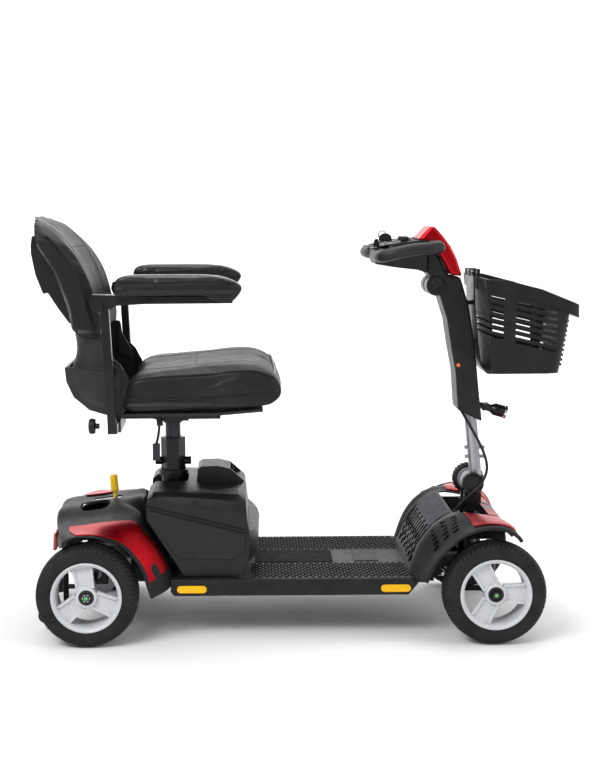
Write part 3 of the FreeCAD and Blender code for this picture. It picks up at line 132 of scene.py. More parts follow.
MAT = {
    "tyre": material("tyre_rubber", (0.009, 0.009, 0.0095), 0.6, grain=("noise", 900, 0.35), mottle=0.25,
                     shine=0.22),
    "rim": material("rim_white", (0.5, 0.51, 0.53), 0.38, coat=0.1, mottle=0.03, rough_change=0.06,
                    shine=0.3),
    "red": material("red_metallic", (0.4, 0.0006, 0.006), 0.36, metal=0.9, coat=0.1, mottle=0.12,
                    mottle_scale=9, rough_change=0.05, flakes=0.004, shine=0.2),
    "shroud": material("grained_black", (0.0055, 0.0055, 0.0065), 0.46, grain=("noise", 1100, 0.5),
                       mottle=0.2, shine=0.26),
    "smooth": material("smooth_slate", (0.02, 0.021, 0.03), 0.58, grain=("noise", 300, 0.05), shine=0.16),
    "console": material("console_charcoal", (0.0075, 0.0075, 0.009), 0.42, grain=("noise", 1300, 0.32),
                        mottle=0.16, shine=0.27),
    "frame": material("black_powder_coat", (0.004, 0.004, 0.0045), 0.36, coat=0.15,
                      grain=("noise", 600, 0.25), shine=0.25),
    "steel": material("bright_steel", (0.5, 0.51, 0.53), 0.28, metal=1.0, grain=("brushed", 700, 0.12)),
    "alu": material("satin_tube", (0.36, 0.37, 0.39), 0.36, metal=0.9, grain=("brushed", 500, 0.15)),
    "vinyl": material("black_vinyl", (0.0065, 0.0068, 0.0078), 0.43, grain=("cells", 420, 0.32), mottle=0.2,
                      mottle_scale=14, shine=0.24),
    "bolster": material("glossy_vinyl", (0.0055, 0.0055, 0.006), 0.3, grain=("cells", 520, 0.14), shine=0.3),
    "thread": material("seam_thread", (0.012, 0.012, 0.013), 0.6, grain=("noise", 2500, 0.6), shine=0.3),
    "grip": material("grip_rubber", (0.009, 0.0093, 0.0096), 0.46, grain=("noise", 700, 0.4), shine=0.32),
    "amber": material("amber_prism", (0.86, 0.46, 0.002), 0.4, coat=0.1, wave=("DIAGONAL", 260, 0.5),
                      mottle=0.1, shine=0.2),
    "ruby": material("ruby_prism", (0.5, 0.008, 0.01), 0.2, coat=0.8, wave=("DIAGONAL", 260, 0.9),
                     mottle=0.2),
    "yellow": material("lever_yellow", (0.78, 0.5, 0.006), 0.4, coat=0.15, mottle=0.08, shine=0.3),
    "basket": material("basket_black", (0.0055, 0.005, 0.0055), 0.42, grain=("noise", 800, 0.3), shine=0.24),
    "pack": material("pack_black", (0.0065, 0.0065, 0.008), 0.38, grain=("noise", 1000, 0.28), shine=0.28),
    "gloss": material("pack_gloss", (0.006, 0.006, 0.0075), 0.34, coat=0.1, mottle=0.1, shine=0.24),
    "shell": material("seat_shell", (0.0085, 0.0095, 0.012), 0.42, coat=0.05, grain=("noise", 900, 0.3),
                      shine=0.4),
    "dark_steel": material("dark_steel", (0.035, 0.038, 0.043), 0.3, metal=0.8, grain=("brushed", 600, 0.1)),
    # near-black and matt: painted shade for the dark insides of the front vent slots and louvres
    "slot_shade": material("painted_slot_shade", (0.0008, 0.0008, 0.0008), 0.95, shine=0.02),
    "tread": material("deck_tread_rubber", (0.011, 0.0105, 0.0105), 0.62, grain=("noise", 900, 0.4),
                      shine=0.22),
    "plate": material("deck_plate_black", (0.006, 0.006, 0.0065), 0.7, grain=("noise", 500, 0.2), shine=0.06),
    "badge": material("badge_grey", (0.05, 0.05, 0.055), 0.6, grain=("noise", 700, 0.3), shine=0.15),
    "pearl": material("pearl_grey", (0.24, 0.245, 0.26), 0.4, coat=0.1, mottle=0.05, shine=0.3),
    "green": material("green_dot", (0.08, 0.36, 0.1), 0.35, coat=0.4),
    "chrome": material("lamp_chrome", (0.7, 0.71, 0.73), 0.12, metal=1.0),
    "lens": material("lamp_lens", (0.6, 0.65, 0.7), 0.08, coat=1.0, wave=("X", 300, 0.4)),
    "orange": material("orange_cap", (0.75, 0.15, 0.01), 0.35, coat=0.4),
}


# ---------------------------------------------------------------- mesh helpers
def finish_piece(obj, look, body, nodes=(), bevel=0.0, smooth=True, steps=2):
    """Gives a piece its look, its softened edges, its body and the nodes that it replaces."""
    obj.data.materials.clear()
    obj.data.materials.append(MAT[look])
    if bevel:
        mod = obj.modifiers.new("Bevel", "BEVEL")
        mod.width = bevel / 1000
        mod.segments = steps
        mod.limit_method = "ANGLE"
        mod.angle_limit = math.radians(32)
        mod.harden_normals = False
    if smooth and obj.type == "MESH":
        obj.data.polygons.foreach_set("use_smooth", [True] * len(obj.data.polygons))
        if bevel:
            obj.modifiers.new("Even", "WEIGHTED_NORMAL")
        else:
            obj.data.set_sharp_from_angle(angle=math.radians(38))
    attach(obj, body)
    if nodes:
        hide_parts(*nodes)
    return obj


def new_mesh(name, verts, faces):
    """A mesh object from points in millimetres, with doubles joined and faces turned outwards."""
    mesh = bpy.data.meshes.new(name)
    mesh.from_pydata([Vector(v) / 1000 for v in verts], [], faces)
    tidy = bmesh.new()
    tidy.from_mesh(mesh)
    bmesh.ops.remove_doubles(tidy, verts=tidy.verts, dist=1e-6)
    bmesh.ops.recalc_face_normals(tidy, faces=tidy.faces)
    tidy.to_mesh(mesh)
    tidy.free()
    obj = bpy.data.objects.new(name, mesh)
    SCENE.collection.objects.link(obj)
    return obj


def applied(obj):
    """The same object with its modifiers made real."""
    graph = bpy.context.evaluated_depsgraph_get()
    mesh = bpy.data.meshes.new_from_object(obj.evaluated_get(graph))
    obj.modifiers.clear()
    obj.data = mesh
    return obj


def curve_point(points, t, closed=False):
    """A point on the smooth line through all the points, t from 0 to 1."""
    n = len(points)
    spans = n if closed else n - 1
    at = min(t * spans, spans - 1e-9)
    i = int(at)
    f = at - i
    pick = (lambda k: points[k % n]) if closed else (lambda k: points[max(0, min(n - 1, k))])
    a, b, c, d = (Vector(pick(i + k)) for k in (-1, 0, 1, 2))
    return b + 0.5 * f * ((c - a) + f * (2 * a - 5 * b + 4 * c - d + f * (3 * (b - c) + d - a)))


def even_line(points, count, closed=False, smooth=True):
    """The line through the points at even spacing."""
    fine = 24
    n = len(points) if closed else len(points) - 1
    if smooth:
        dense = [curve_point(points, k / (n * fine), closed) for k in range(n * fine + 1)]
    else:
        ring = list(points) + ([points[0]] if closed else [])
        dense = [Vector(ring[k // fine]).lerp(Vector(ring[min(k // fine + 1, n)]), (k % fine) / fine)
                 for k in range(n * fine + 1)]
    run = [0.0]
    for a, b in zip(dense, dense[1:]):
        run.append(run[-1] + (b - a).length)
    out = []
    steps = count if closed else count - 1
    j = 0
    for k in range(count):
        want = run[-1] * k / steps
        while j < len(run) - 2 and run[j + 1] < want:
            j += 1
        span = run[j + 1] - run[j]
        out.append(dense[j].lerp(dense[j + 1], (want - run[j]) / span if span else 0))
    return out


def grid(name, rows, closed=False, caps=False):
    """A mesh through rows of points; closed joins each row's ends, caps closes the first and last rows."""
    w = len(rows[0])
    verts = [p for row in rows for p in row]
    faces = []
    for r in range(len(rows) - 1):
        for c in range(w if closed else w - 1):
            d = (c + 1) % w
            faces.append((r * w + c, r * w + d, (r + 1) * w + d, (r + 1) * w + c))
    if caps:
        faces.append(tuple(range(w)))
        faces.append(tuple(range((len(rows) - 1) * w, len(rows) * w)))
    return new_mesh(name, verts, faces)


def skin(name, stations, along, across, thick, look, body, nodes=(), lift=0.0, cuts=(), bevel=0.8):
    """A moulded sheet: smooth outlines in X and Z at given Y, joined smoothly, with a thickness."""
    lines = [[Vector((p.x, y, p.y)) for p in even_line(line, along)] for y, line in stations]
    rows = []
    spans = len(lines) - 1
    for k in range(spans * across + 1):
        t = k / (spans * across)
        rows.append([curve_point([line[c] for line in lines], t) for c in range(along)])
    obj = grid(name, rows)
    mesh = obj.data
    middle = sum((v.co for v in mesh.vertices), Vector()) / len(mesh.vertices)
    if sum(p.normal.dot(p.center - middle) for p in mesh.polygons) < 0:
        mesh.flip_normals()
    if lift:
        mesh.calc_loop_triangles()
        normals = [v.normal.copy() for v in mesh.vertices]
        for v, n in zip(mesh.vertices, normals):
            v.co += n * lift / 1000
    mod = obj.modifiers.new("Thick", "SOLIDIFY")
    mod.thickness = thick / 1000
    mod.offset = -1
    mod.use_even_offset = True
    obj = applied(obj)
    for cutter in cuts:
        carve(obj, cutter)
    return finish_piece(obj, look, body, nodes, bevel=bevel)


def carve(obj, cutter):
    """Cuts the cutter out of the object and removes the cutter."""
    mod = obj.modifiers.new("Cut", "BOOLEAN")
    mod.operation = "DIFFERENCE"
    mod.solver = "EXACT"
    mod.object = cutter
    applied(obj)
    bpy.data.objects.remove(cutter)
    return obj


def raw_box(name, lo, hi, corner=0.0):
    """A box, with rounded upright edges if corner is given."""
    if corner:
        ring = []
        for sx, sy, start in ((1, 1, 0), (0, 1, 90), (0, 0, 180), (1, 0, 270)):
            cx = (hi[0] - corner) if sx else (lo[0] + corner)
            cy = (hi[1] - corner) if sy else (lo[1] + corner)
            for k in range(7):
                a = math.radians(start + 15 * k)
                ring.append((cx + corner * math.cos(a), cy + corner * math.sin(a)))
        return grid(name, [[(x, y, z) for x, y in ring] for z in (lo[2], hi[2])], closed=True, caps=True)
    verts = [(x, y, z) for z in (lo[2], hi[2]) for x, y in
             ((lo[0], lo[1]), (hi[0], lo[1]), (hi[0], hi[1]), (lo[0], hi[1]))]
    return new_mesh(name, verts, [(0, 3, 2, 1), (4, 5, 6, 7), (0, 1, 5, 4), (1, 2, 6, 5), (2, 3, 7, 6),
                                  (3, 0, 4, 7)])


def block(name, lo, hi, look, body, bevel):
    return finish_piece(raw_box(name, lo, hi), look, body, bevel=bevel, steps=3)


def slab(name, outline, y0, y1, look, body, bevel=3.0, nodes=(), steps=4, cuts=()):
    """An outline in X and Z pushed through from y0 to y1, with rounded edges."""
    rows = [[(x, y, z) for x, z in outline] for y in (y0, y1)]
    obj = grid(name, rows, closed=True, caps=True)
    for cutter in cuts:
        carve(obj, cutter)
    return finish_piece(obj, look, body, nodes, bevel=bevel, steps=steps)


AXES = {"X": (Vector((0, 1, 0)), Vector((0, 0, 1)), Vector((1, 0, 0))),
        "Y": (Vector((0, 0, 1)), Vector((1, 0, 0)), Vector((0, 1, 0))),
        "Z": (Vector((1, 0, 0)), Vector((0, 1, 0)), Vector((0, 0, 1)))}


def raw_lathe(name, profile, centre, axis="Y", steps=64, wobble=None):
    """Radius and height pairs turned about an axis through the centre."""
    u, v, w = AXES[axis] if isinstance(axis, str) else axis
    rows = []
    for r, h in profile:
        ring = []
        for k in range(steps):
            a = 2 * math.pi * k / steps
            rr = r + (wobble(a, h, r) if wobble else 0)
            ring.append(Vector(centre) + u * rr * math.cos(a) + v * rr * math.sin(a) + w * h)
        rows.append(ring)
    return grid(name, rows, closed=True, caps=profile[0] != profile[-1])


def lathe(name, profile, centre, look, body, axis="Y", steps=64, nodes=(), bevel=0.6, wobble=None):
    return finish_piece(raw_lathe(name, profile, centre, axis, steps, wobble), look, body, nodes, bevel=bevel)


def outward(sign):
    """Lathe axes for a round piece that faces out to one side."""
    return Vector((0, 0, 1)), Vector((1, 0, 0)), Vector((0, sign, 0))


def tube(name, points, radius, look, body, nodes=(), closed=False, smooth=True, count=None, sides=20):
    """A round bar along a smooth line through the points."""
    line = even_line(points, count or max(16, 6 * len(points)), closed, smooth)
    rows = []
    up = Vector((0, 0, 1))
    last = None
    n = len(line)
    for k, p in enumerate(line):
        a = line[(k - 1) % n] if closed or k else line[0]
        b = line[(k + 1) % n] if closed or k < n - 1 else line[-1]
        ahead = (b - a).normalized()
        if last is None:
            side = ahead.cross(up)
            if side.length < 0.05:
                side = ahead.cross(Vector((1, 0, 0)))
        else:
            side = last - ahead * last.dot(ahead)
        side.normalize()
        last = side
        other = ahead.cross(side)
        rows.append([p
                     + radius * (side * math.cos(2 * math.pi * i / sides)
                                 + other * math.sin(2 * math.pi * i / sides)) for i in range(sides)])
    if closed:
        rows.append(rows[0])
    obj = grid(name, rows, closed=True, caps=not closed)
    return finish_piece(obj, look, body, nodes, bevel=0 if closed else min(1.2, radius * 0.3))


def joined(name, objs):
    """Several pieces of one body as a single mesh object, keeping their materials."""
    for o in objs:
        if o.modifiers:
            applied(o)
    with bpy.context.temp_override(active_object=objs[0], selected_editable_objects=objs, object=objs[0]):
        bpy.ops.object.join()
    objs[0].name = name
    return objs[0]


def hexagon(name, across, h0, h1, centre, look, body):
    """A nut along Y, from h0 to h1."""
    r = across / math.sqrt(3)
    c = min(1.0, (h1 - h0) * 0.2)
    return lathe(name, [(r - c, h0), (r, h0 + c), (r, h1 - c), (r - c, h1)], centre, look, body, steps=6,
                 bevel=0.4)


# ---------------------------------------------------------------- CAD nodes that stay, with softened edges
KEEP = {
    "frame": ["rear_frame", "front_frame", "seat_socket", "drive_motor", "armrest_upright_left",
              "steering_stem", "armrest_upright_right", "steering_knuckle_left", "steering_knuckle_right",
              "swivel_bracket", "mast_brackets", "front_hub_left", "front_hub_right"],
    "steel": ["rear_axle_left", "rear_axle_right", "tie_rod_left", "tie_rod_right"],
    "dark_steel": ["seat_post", "swivel_lever"],
    "alu": ["transaxle", "tiller_mast"],
    "grip": ["steering_boot", "anti_tip_wheels"],
    "shroud": ["floor_pan", "battery_cells"],
    "pack": ["battery_case", "battery_lid"],
    "shell": ["seat_pan"],
    "basket": ["basket"],
}
for look, names in KEEP.items():
    for label in names:
        node = NODES[label]
        for spot in node.material_slots:
            spot.material = MAT[look]
        weld = node.modifiers.new("Weld", "WELD")
        weld.merge_threshold = 1e-5
        soft = node.modifiers.new("Bevel", "BEVEL")
        soft.width = 0.0022 if label in ("battery_case", "battery_lid", "floor_pan", "seat_pan") else 0.0008
        soft.segments = 3 if soft.width > 0.001 else 2
        soft.limit_method = "ANGLE"
        soft.angle_limit = math.radians(35)
        soft.use_clamp_overlap = True
        node.modifiers.new("Even", "WEIGHTED_NORMAL")


# ---------------------------------------------------------------- wheels
WHEEL_RADIUS = 111.5


def wheel(side, sign, end, x, track, width):
    """Tyre, pale rim with three spokes, hub cap, nut and dot of one wheel."""
    body = f"{end}_wheel_{side}"
    centre = (x, sign * track, WHEEL_RADIUS)
    half = width / 2
    side_line = [(75, half - 4), (80, half - 1.5), (90, half), (99, half - 1.5), (105, half - 5),
                 (108.5, half - 10), (110.4, half - 17), (111.3, 9), (WHEEL_RADIUS, 0)]
    line = [(r, -h) for r, h in side_line] + [(r, h) for r, h in side_line[::-1][1:]]
    fine = [(p.x, p.y) for p in even_line(line, 57)]

    def facing(profile):
        """The profile with its heights counted out of the scooter."""
        return [(r, sign * h) for r, h in profile]

    def tread(a, h, r):
        """Slanted blocks with a groove down each side of the middle rib, and fine rings on the sidewall."""
        if r < 98:
            return -0.5 if 83 < r < 85.5 or 93 < r < 94.5 else 0.0
        slant = 0.055 * abs(h) + (0.5 if h > 0 else 0)
        part = (a * 60 / (2 * math.pi) + slant) % 1
        if 5.5 < abs(h) < 8.5:
            return -2.6
        return -3.0 if part < 0.34 and abs(h) > 8.5 else 0.0

    lathe(f"tyre_tread_{end}_{side}", fine + fine[:1], centre, "tyre", body, steps=420,
          nodes=[f"{end}_tyre_{side}"], bevel=0, wobble=tread)
    ring = [(66, -half + 10), (72, -half + 5), (74.6, -half + 3), (74.8, 0), (74.8, half - 6),
            (76.5, half - 3.5), (76.5, half - 0.5), (74.2, half + 0.6), (71, half - 1), (68.5, half - 3.4),
            (67.2, half - 8), (66, 0)]
    made = [lathe(f"rim_ring_{end}_{side}", facing(ring + ring[:1]), centre, "rim", body, steps=96,
                  bevel=0)]
    first = 90 - (8 if end == "rear" else 30) * sign
    for k in range(3):
        a = math.radians(first + 120 * k)
        along, across = Vector((math.cos(a), 0, math.sin(a))), Vector((-math.sin(a), 0, math.cos(a)))
        made.append(spoke(f"spoke_{end}_{side}_{k}", Vector(centre), along, across, sign * (half - 8.5), sign,
                          body))
    hub = [(12, -10), (22, -10), (23, half - 12), (22.5, half - 6), (20, half - 4.5), (12, half - 4.5)]
    made.append(lathe(f"rim_hub_{end}_{side}", facing(hub), centre, "rim", body, steps=48))
    rim_piece = joined(f"rim_white_{end}_{side}", made)
    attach(rim_piece, body)
    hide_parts(f"{end}_rim_{side}")
    cap = [(16.5, half - 6), (16.8, half - 4.4), (15.6, half - 2.6), (12, half - 2.2), (11, half - 2.8)]
    lathe(f"hub_cap_{end}_{side}", facing(cap), centre, "frame", body, steps=48, bevel=0)
    nut_low, nut_high = sorted((sign * (half - 4), sign * (half + 1.2)))
    hexagon(f"hub_nut_{end}_{side}", 15.5, nut_low, nut_high, centre, "frame", body)
    dot = [(4.2, half + 1.0), (4.2, half + 1.9), (3.4, half + 2.3), (0.01, half + 2.4)]
    lathe(f"hub_dot_{end}_{side}", facing(dot), centre, "green", body, steps=24, bevel=0)


def spoke(name, centre, along, across, face, sign, body):
    """A broad spoke with a sunken panel on its outer side."""
    shape = [(17, 20), (38, 21), (58, 22.5), (69, 26)]
    outline = [(r, w) for r, w in shape] + [(r, -w) for r, w in shape[::-1]]
    axis = Vector((0, 1, 0))
    verts = [centre + along * r + across * w + axis * h for h in (face - sign * 13, face) for r, w in outline]
    n = len(outline)
    faces = [tuple(range(n)), tuple(range(n, 2 * n))] + [(i, (i + 1) % n, n + (i + 1) % n, n + i)
                                                         for i in range(n)]
    obj = new_mesh(name, verts, faces)
    work = bmesh.new()
    work.from_mesh(obj.data)
    top = max(work.faces, key=lambda f: (f.calc_center_median().y * sign, f.calc_area()))
    bmesh.ops.inset_region(work, faces=[top], thickness=0.0055)
    bmesh.ops.inset_region(work, faces=[top], thickness=0.0016)
    for v in top.verts:
        v.co.y -= sign * 0.0045
    work.to_mesh(obj.data)
    work.free()
    return finish_piece(obj, "rim", body, bevel=1.2, steps=3)


for side, sign in SIDES:
    wheel(side, sign, "rear", -482, 214, 72)
    wheel(side, sign, "front", 394, 216, 64)


# ---------------------------------------------------------------- body shells
REAR_SPINE = [(-560, 192), (-567, 228), (-563, 254), (-547, 264), (-505, 270), (-454, 276), (-404, 281),
              (-370, 282), (-364, 258), (-363, 235), (-363, 215), (-363, 200)]
REAR_SHOULDER = [(-550, 192), (-554, 224), (-548, 242), (-530, 250), (-497, 254), (-452, 261), (-404, 268),
                 (-374, 268), (-354, 240), (-332, 207), (-312, 168), (-302, 136)]
REAR_BROW = [(-545, 205), (-548, 224), (-540, 238), (-522, 243), (-492, 246), (-450, 251), (-408, 252),
             (-382, 247), (-360, 226), (-336, 196), (-314, 156), (-304, 118)]
REAR_LIP = [(-534, 222), (-533, 231), (-522, 238), (-502, 243), (-476, 243.5), (-452, 240), (-425, 231),
            (-400, 216), (-378, 192), (-362, 165), (-352, 135), (-342, 106)]
REAR_STATIONS = [(0, REAR_SPINE), (60, REAR_SPINE), (118, REAR_SHOULDER), (190, REAR_BROW), (236, REAR_LIP)]
FRONT_RIDGE = [(216, 120), (230, 152), (247, 195), (270, 227), (293, 247), (316, 259), (342, 261), (372, 256),
               (402, 252), (424, 246), (440, 228), (454, 207)]
FRONT_CREST = [(212, 112), (225, 154), (242, 199), (265, 232), (290, 252), (315, 263), (344, 264), (374, 260),
               (402, 256), (424, 250), (438, 241), (447, 233), (451, 226)]
FRONT_BROW = [(234, 130), (243, 152), (257, 180), (276, 208), (298, 231), (322, 246), (350, 254), (380, 258),
              (406, 257), (426, 252), (438, 245), (446, 236), (449, 227)]
FRONT_LIP = [(246, 138), (252, 152), (264, 176), (281, 200), (303, 222), (327, 239), (353, 250), (381, 254.5),
             (405, 253), (424, 247), (438, 239), (446, 231), (449, 225.5)]
FRONT_STATIONS = [(0, FRONT_RIDGE), (116, FRONT_RIDGE), (150, FRONT_CREST), (206, FRONT_BROW),
                  (236, FRONT_LIP)]


def both_sides(stations):
    """The stations of the left half, mirrored to the right as well."""
    return [(-y, line) for y, line in reversed(stations) if y] + stations


def between(first, second, share):
    """An outline part of the way from the first to the second."""
    return [(a + (c - a) * share, b + (d - b) * share) for (a, b), (c, d) in zip(first, second)]


holes = [raw_box("cut_hand", (-512, min(s * 24, s * 86), 200), (-446, max(s * 24, s * 86), 300), corner=20)
         for s in (-1, 1)]
holes.append(raw_box("cut_lever", (-487, -11, 200), (-423, 11, 300), corner=5))
skin("rear_shroud_skin", both_sides(REAR_STATIONS), 44, 6, 3.5, "shroud", "chassis", ["rear_shroud"],
     cuts=holes)
for side, sign in SIDES:
    (y0, inner), (y1, brow), (y2, lip) = REAR_STATIONS[2:]
    red = [(sign * (y0 + 0.6 * (y1 - y0)), between(inner, brow, 0.6)[3:11]), (sign * y1, brow[3:11]),
           (sign * (y1 + 0.85 * (y2 - y1)), between(brow, lip, 0.85)[3:11])]
    skin("rear_red_" + side, red, 40, 14, 2.2, "red", "chassis", lift=2.0, bevel=1.0)
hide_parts("rear_fender_panels")

well = raw_box("cut_well", (322, -110, 221), (408, 110, 300))
front = skin("front_shroud_skin", both_sides(FRONT_STATIONS), 48, 6, 3.5, "shroud", "chassis", cuts=[well])
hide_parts("front_shroud")
tub = raw_box("front_well", (319, -113, 218), (411, 113, 248))
carve(tub, raw_box("cut_a", (322, -110, 221), (408, 110, 260)))
carve(tub, raw_lathe("cut_b", [(24, 190), (24, 280)], (372, 0, 0), "Z", 48))
finish_piece(tub, "shroud", "chassis", bevel=1.2)
for side, sign in SIDES:
    ridge = between(FRONT_RIDGE, FRONT_CREST, 0.2)[6:12]
    crest = FRONT_CREST[6:12]
    brow = FRONT_BROW[6:10] + [(434, 247.5), (440, 243)]
    lip = FRONT_LIP[6:10] + [(432, 242), (439, 234)]
    red = [(sign * 122, ridge), (sign * 150, crest), (sign * 200, brow),
           (sign * 216, between(brow, lip, 0.4))]
    hood = skin("front_red_" + side, red, 30, 10, 2.2, "red", "chassis", lift=3.0, bevel=1.0)
    if sign < 0:
        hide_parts("front_panels")
skin("front_smooth_panel", both_sides([(0, FRONT_RIDGE[3:6]), (108, FRONT_RIDGE[3:6])]), 24, 8, 1.6, "smooth",
     "chassis", lift=1.6, bevel=0.6)


def stud(name, spot, ahead, half, wide, proud, look, body):
    """A small long-ended raised piece on a surface; ahead runs along it in X and Z."""
    ahead = Vector(ahead).normalized()
    out = Vector((-ahead.z, 0, ahead.x))
    ring = []
    for k in range(16):
        a = 2 * math.pi * k / 16
        u, v = math.cos(a), math.sin(a)
        ring.append(ahead * (u * wide + math.copysign(half - wide, u)) + Vector((0, v * wide, 0)))
    rows = [[Vector(spot) + p + out * h for p in ring] for h in (-1.5, proud)]
    return finish_piece(grid(name, rows, closed=True, caps=True), look, body, bevel=0.4)


def line_at(line, x):
    """Height and direction of an outline at x."""
    for (a, b), (c, d) in zip(line, line[1:]):
        if a <= x <= c:
            return b + (d - b) * (x - a) / (c - a), (c - a, 0, d - b)
    return line[-1][1], (1, 0, -0.5)


# Vent slots and louvres: raised studs in the near-black look, with painted shade in place of real openings.
slots = []
for i in range(11):
    y = -100 + 20 * i
    for j in range(5):
        x = 226.5 + (9.4 if i % 2 else 4.7) + 8.2 * j * (1 - 0.02 * j)
        z, ahead = line_at(FRONT_RIDGE, x)
        slots.append(stud(f"slot_{i}_{j}", (x, y, z), ahead, 7.2, 3.3, 1.6, "slot_shade", "chassis"))
for side, sign in SIDES:
    for x in (272, 293, 314):
        for k in range(5):
            y = 158 + 11.5 * k
            line = between(FRONT_CREST, FRONT_BROW, (y - 150) / 56)
            z, ahead = line_at(line, x)
            slots.append(stud(f"louvre_{side}_{x}_{k}", (x, sign * y, z), ahead, 7.4, 2.9, 1.7, "slot_shade",
                              "chassis"))
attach(joined("front_slots", slots), "chassis")
for side, sign in SIDES:
    edge = [(x, sign * 236.5, z - 1) for x, z in FRONT_LIP]
    tube(f"front_lip_trim_{side}", edge, 4.2, "shroud", "chassis", count=70)
    wall = [(258, 118), (258, 188), (275, 220), (296, 238), (430, 238), (440, 224), (436, 200), (300, 200),
            (296, 118)]
    slab(f"front_inner_wall_{side}", wall, sign * 111.8 - 0.7, sign * 111.8 + 0.7, "shroud", "chassis",
         bevel=0.3)
nose = FRONT_RIDGE[8:12]
skin("nose_red", both_sides([(0, nose), (60, nose), (104, nose)]), 20, 6, 2.0, "red", "chassis", lift=2.0,
     bevel=0.8)
for side, sign in SIDES:
    for label, y, wide, look in (("black", 22, 9, "frame"), ("pale", 36, 4, "pearl")):
        band = [(sign * (y - wide), nose), (sign * y, nose), (sign * (y + wide), nose)]
        skin(f"nose_stripe_{label}_{side}", band, 20, 3, 1.0, look, "chassis", lift=3.0, bevel=0.3)
panel_edge = [(224, 150), (236, 178), (250, 201), (272, 229)]
for side, sign in SIDES:
    tube(f"grille_edge_{side}", [(x - 1, sign * 112, z + 1) for x, z in panel_edge], 1.6, "smooth", "chassis",
         count=30)

# ---------------------------------------------------------------- deck and reflectors
DECK_TOP = 133.2
verts, faces = [], []
for sign in (-1, 1):
    for row in range(11):
        for k in range(24):
            x = -122 + 14.4 * k + (7.2 if row % 2 else 0)
            y = sign * (68 + 10.4 * row)
            base = len(verts)
            for grow, z in ((0.0, DECK_TOP), (0.0, 135.4), (-1.0, 136.4)):
                verts += [(x - 5.6 - grow, y, z), (x, y - 4.0 - grow, z), (x + 5.6 + grow, y, z),
                          (x, y + 4.0 + grow, z)]
            for level in (0, 4):
                faces += [(base + level + i, base + level + (i + 1) % 4, base + level + 4 + (i + 1) % 4,
                           base + level + 4 + i) for i in range(4)]
            faces.append(tuple(base + 8 + i for i in range(4)))
            faces.append(tuple(base + i for i in range(4)))
finish_piece(new_mesh("deck_tread", verts, faces), "tread", "chassis", smooth=False)
for side, sign in SIDES:
    y0, y1 = sorted((sign * 62, sign * 180))
    block(f"deck_mat_{side}", (-132, y0, DECK_TOP), (222, y1, 134.6), "frame", "chassis", bevel=0.6)
slab("deck_plate", [(-118, 133.5), (60, 133.5), (60, 135.6), (-118, 135.6)], -54, 54, "plate", "chassis",
     bevel=0.8)
slab("deck_badge_plate", [(108, 133.5), (164, 133.5), (164, 136), (108, 136)], -46, 46, "badge", "chassis",
     bevel=0.8)
for side, sign in SIDES:
    y0, y1 = (190.0, 193.6) if sign > 0 else (-193.6, -190.0)
    for label, x in (("rear", -290), ("front", 154)):
        half_turn = [(8 * math.sin(math.pi * k / 10), 8 * math.cos(math.pi * k / 10)) for k in range(11)]
        ends = [(x + 57 + a, 112.5 + b) for a, b in half_turn] + [(x + 8 - a, 112.5 - b)
                                                                  for a, b in half_turn]
        slab(f"amber_{label}_{side}", ends, y0, y1, "amber", "chassis", bevel=1.0, steps=3,
             nodes=["reflectors"] if (side, label) == ("right", "rear") else ())
    skirt = [(-304, 134), (224, 134), (236, 122), (214, 97), (-296, 97), (-304, 106)]
    slab(f"deck_skirt_{side}", skirt, sign * 187.5 - 2.8, sign * 187.5 + 2.8, "shroud", "chassis", bevel=2.4)
    lamp = [(-562.5, 194), (-555, 194), (-555, 232), (-560.5, 232)]
    slab(f"tail_lamp_{side}", lamp, sign * 140 - 22, sign * 140 + 22, "ruby", "chassis", bevel=1.2)

# ---------------------------------------------------------------- battery pack: glossy side panels and seam
for side, sign in SIDES:
    shape = [(-352, 284), (-139, 230), (-141, 192), (-168, 172), (-286, 176), (-352, 258)]
    y0, y1 = (167.2, 171) if sign > 0 else (-171, -167.2)
    slab(f"pack_gloss_{side}", shape, y0, y1, "gloss", "battery_pack", bevel=1.4)
tube("pack_seam", [(-356, -171, 292), (-131, -171, 235)], 1.5, "frame", "battery_pack", smooth=False,
     count=12)

# ---------------------------------------------------------------- freewheel lever
tilt = Matrix.Rotation(math.radians(-4), 3, "Y")
w = tilt @ Vector((0, 0, 1))
u = tilt @ Vector((1, 0, 0))
ribbed = [(4.2, -112 + 8), (4.2, -6), (7.2, -5), (9.0, -2)]
for k in range(7):
    ribbed += [(9.4, 4.2 * k), (9.4, 4.2 * k + 2.6), (8.2, 4.2 * k + 3.0), (8.2, 4.2 * k + 3.9)]
ribbed += [(9.2, 30), (8.4, 33.2), (5, 34.4)]
lathe("lever_yellow_grip", ribbed, (-439.8, 0, 295.7), "yellow", "freewheel", axis=(u, Vector((0, 1, 0)), w),
      steps=40, bevel=0, nodes=["freewheel_lever"])
lathe("lever_yellow_boss", [(4.3, -7), (8, -7), (8, 7), (4.3, 7)], (-432, 0, 184), "yellow", "freewheel",
      steps=40)
tube("lever_yellow_stem", [(-432.5, 0, 191), (-435.5, 0, 235), (-438.5, 0, 280)], 4.2, "steel", "freewheel")


# ---------------------------------------------------------------- soft goods
CLOTH_FRAMES = 20


def stuff(obj, limit, still, voxel=0.006):
    """Fills a closed form like upholstery: remesh, cloth under pressure, a cap on how far it moves."""
    mod = obj.modifiers.new("Remesh", "REMESH")
    mod.mode = "VOXEL"
    mod.voxel_size = voxel
    applied(obj)
    before = [v.co.copy() for v in obj.data.vertices]
    cloth = obj.modifiers.new("Cloth", "CLOTH")
    cloth.settings.quality = 4
    cloth.settings.mass = 0.3
    cloth.settings.use_pressure = True
    cloth.settings.uniform_pressure_force = 4.0
    cloth.settings.effector_weights.gravity = 0
    cloth.point_cache.frame_start = 1
    cloth.point_cache.frame_end = CLOTH_FRAMES
    for f in range(1, CLOTH_FRAMES + 1):
        SCENE.frame_set(f)
    applied(obj)
    SCENE.frame_set(1)
    for v, rest in zip(obj.data.vertices, before):
        move = v.co - rest
        far = move.length
        if far > limit:
            v.co = rest + move * (limit / far)
        if still(rest * 1000):
            v.co = rest
    return obj


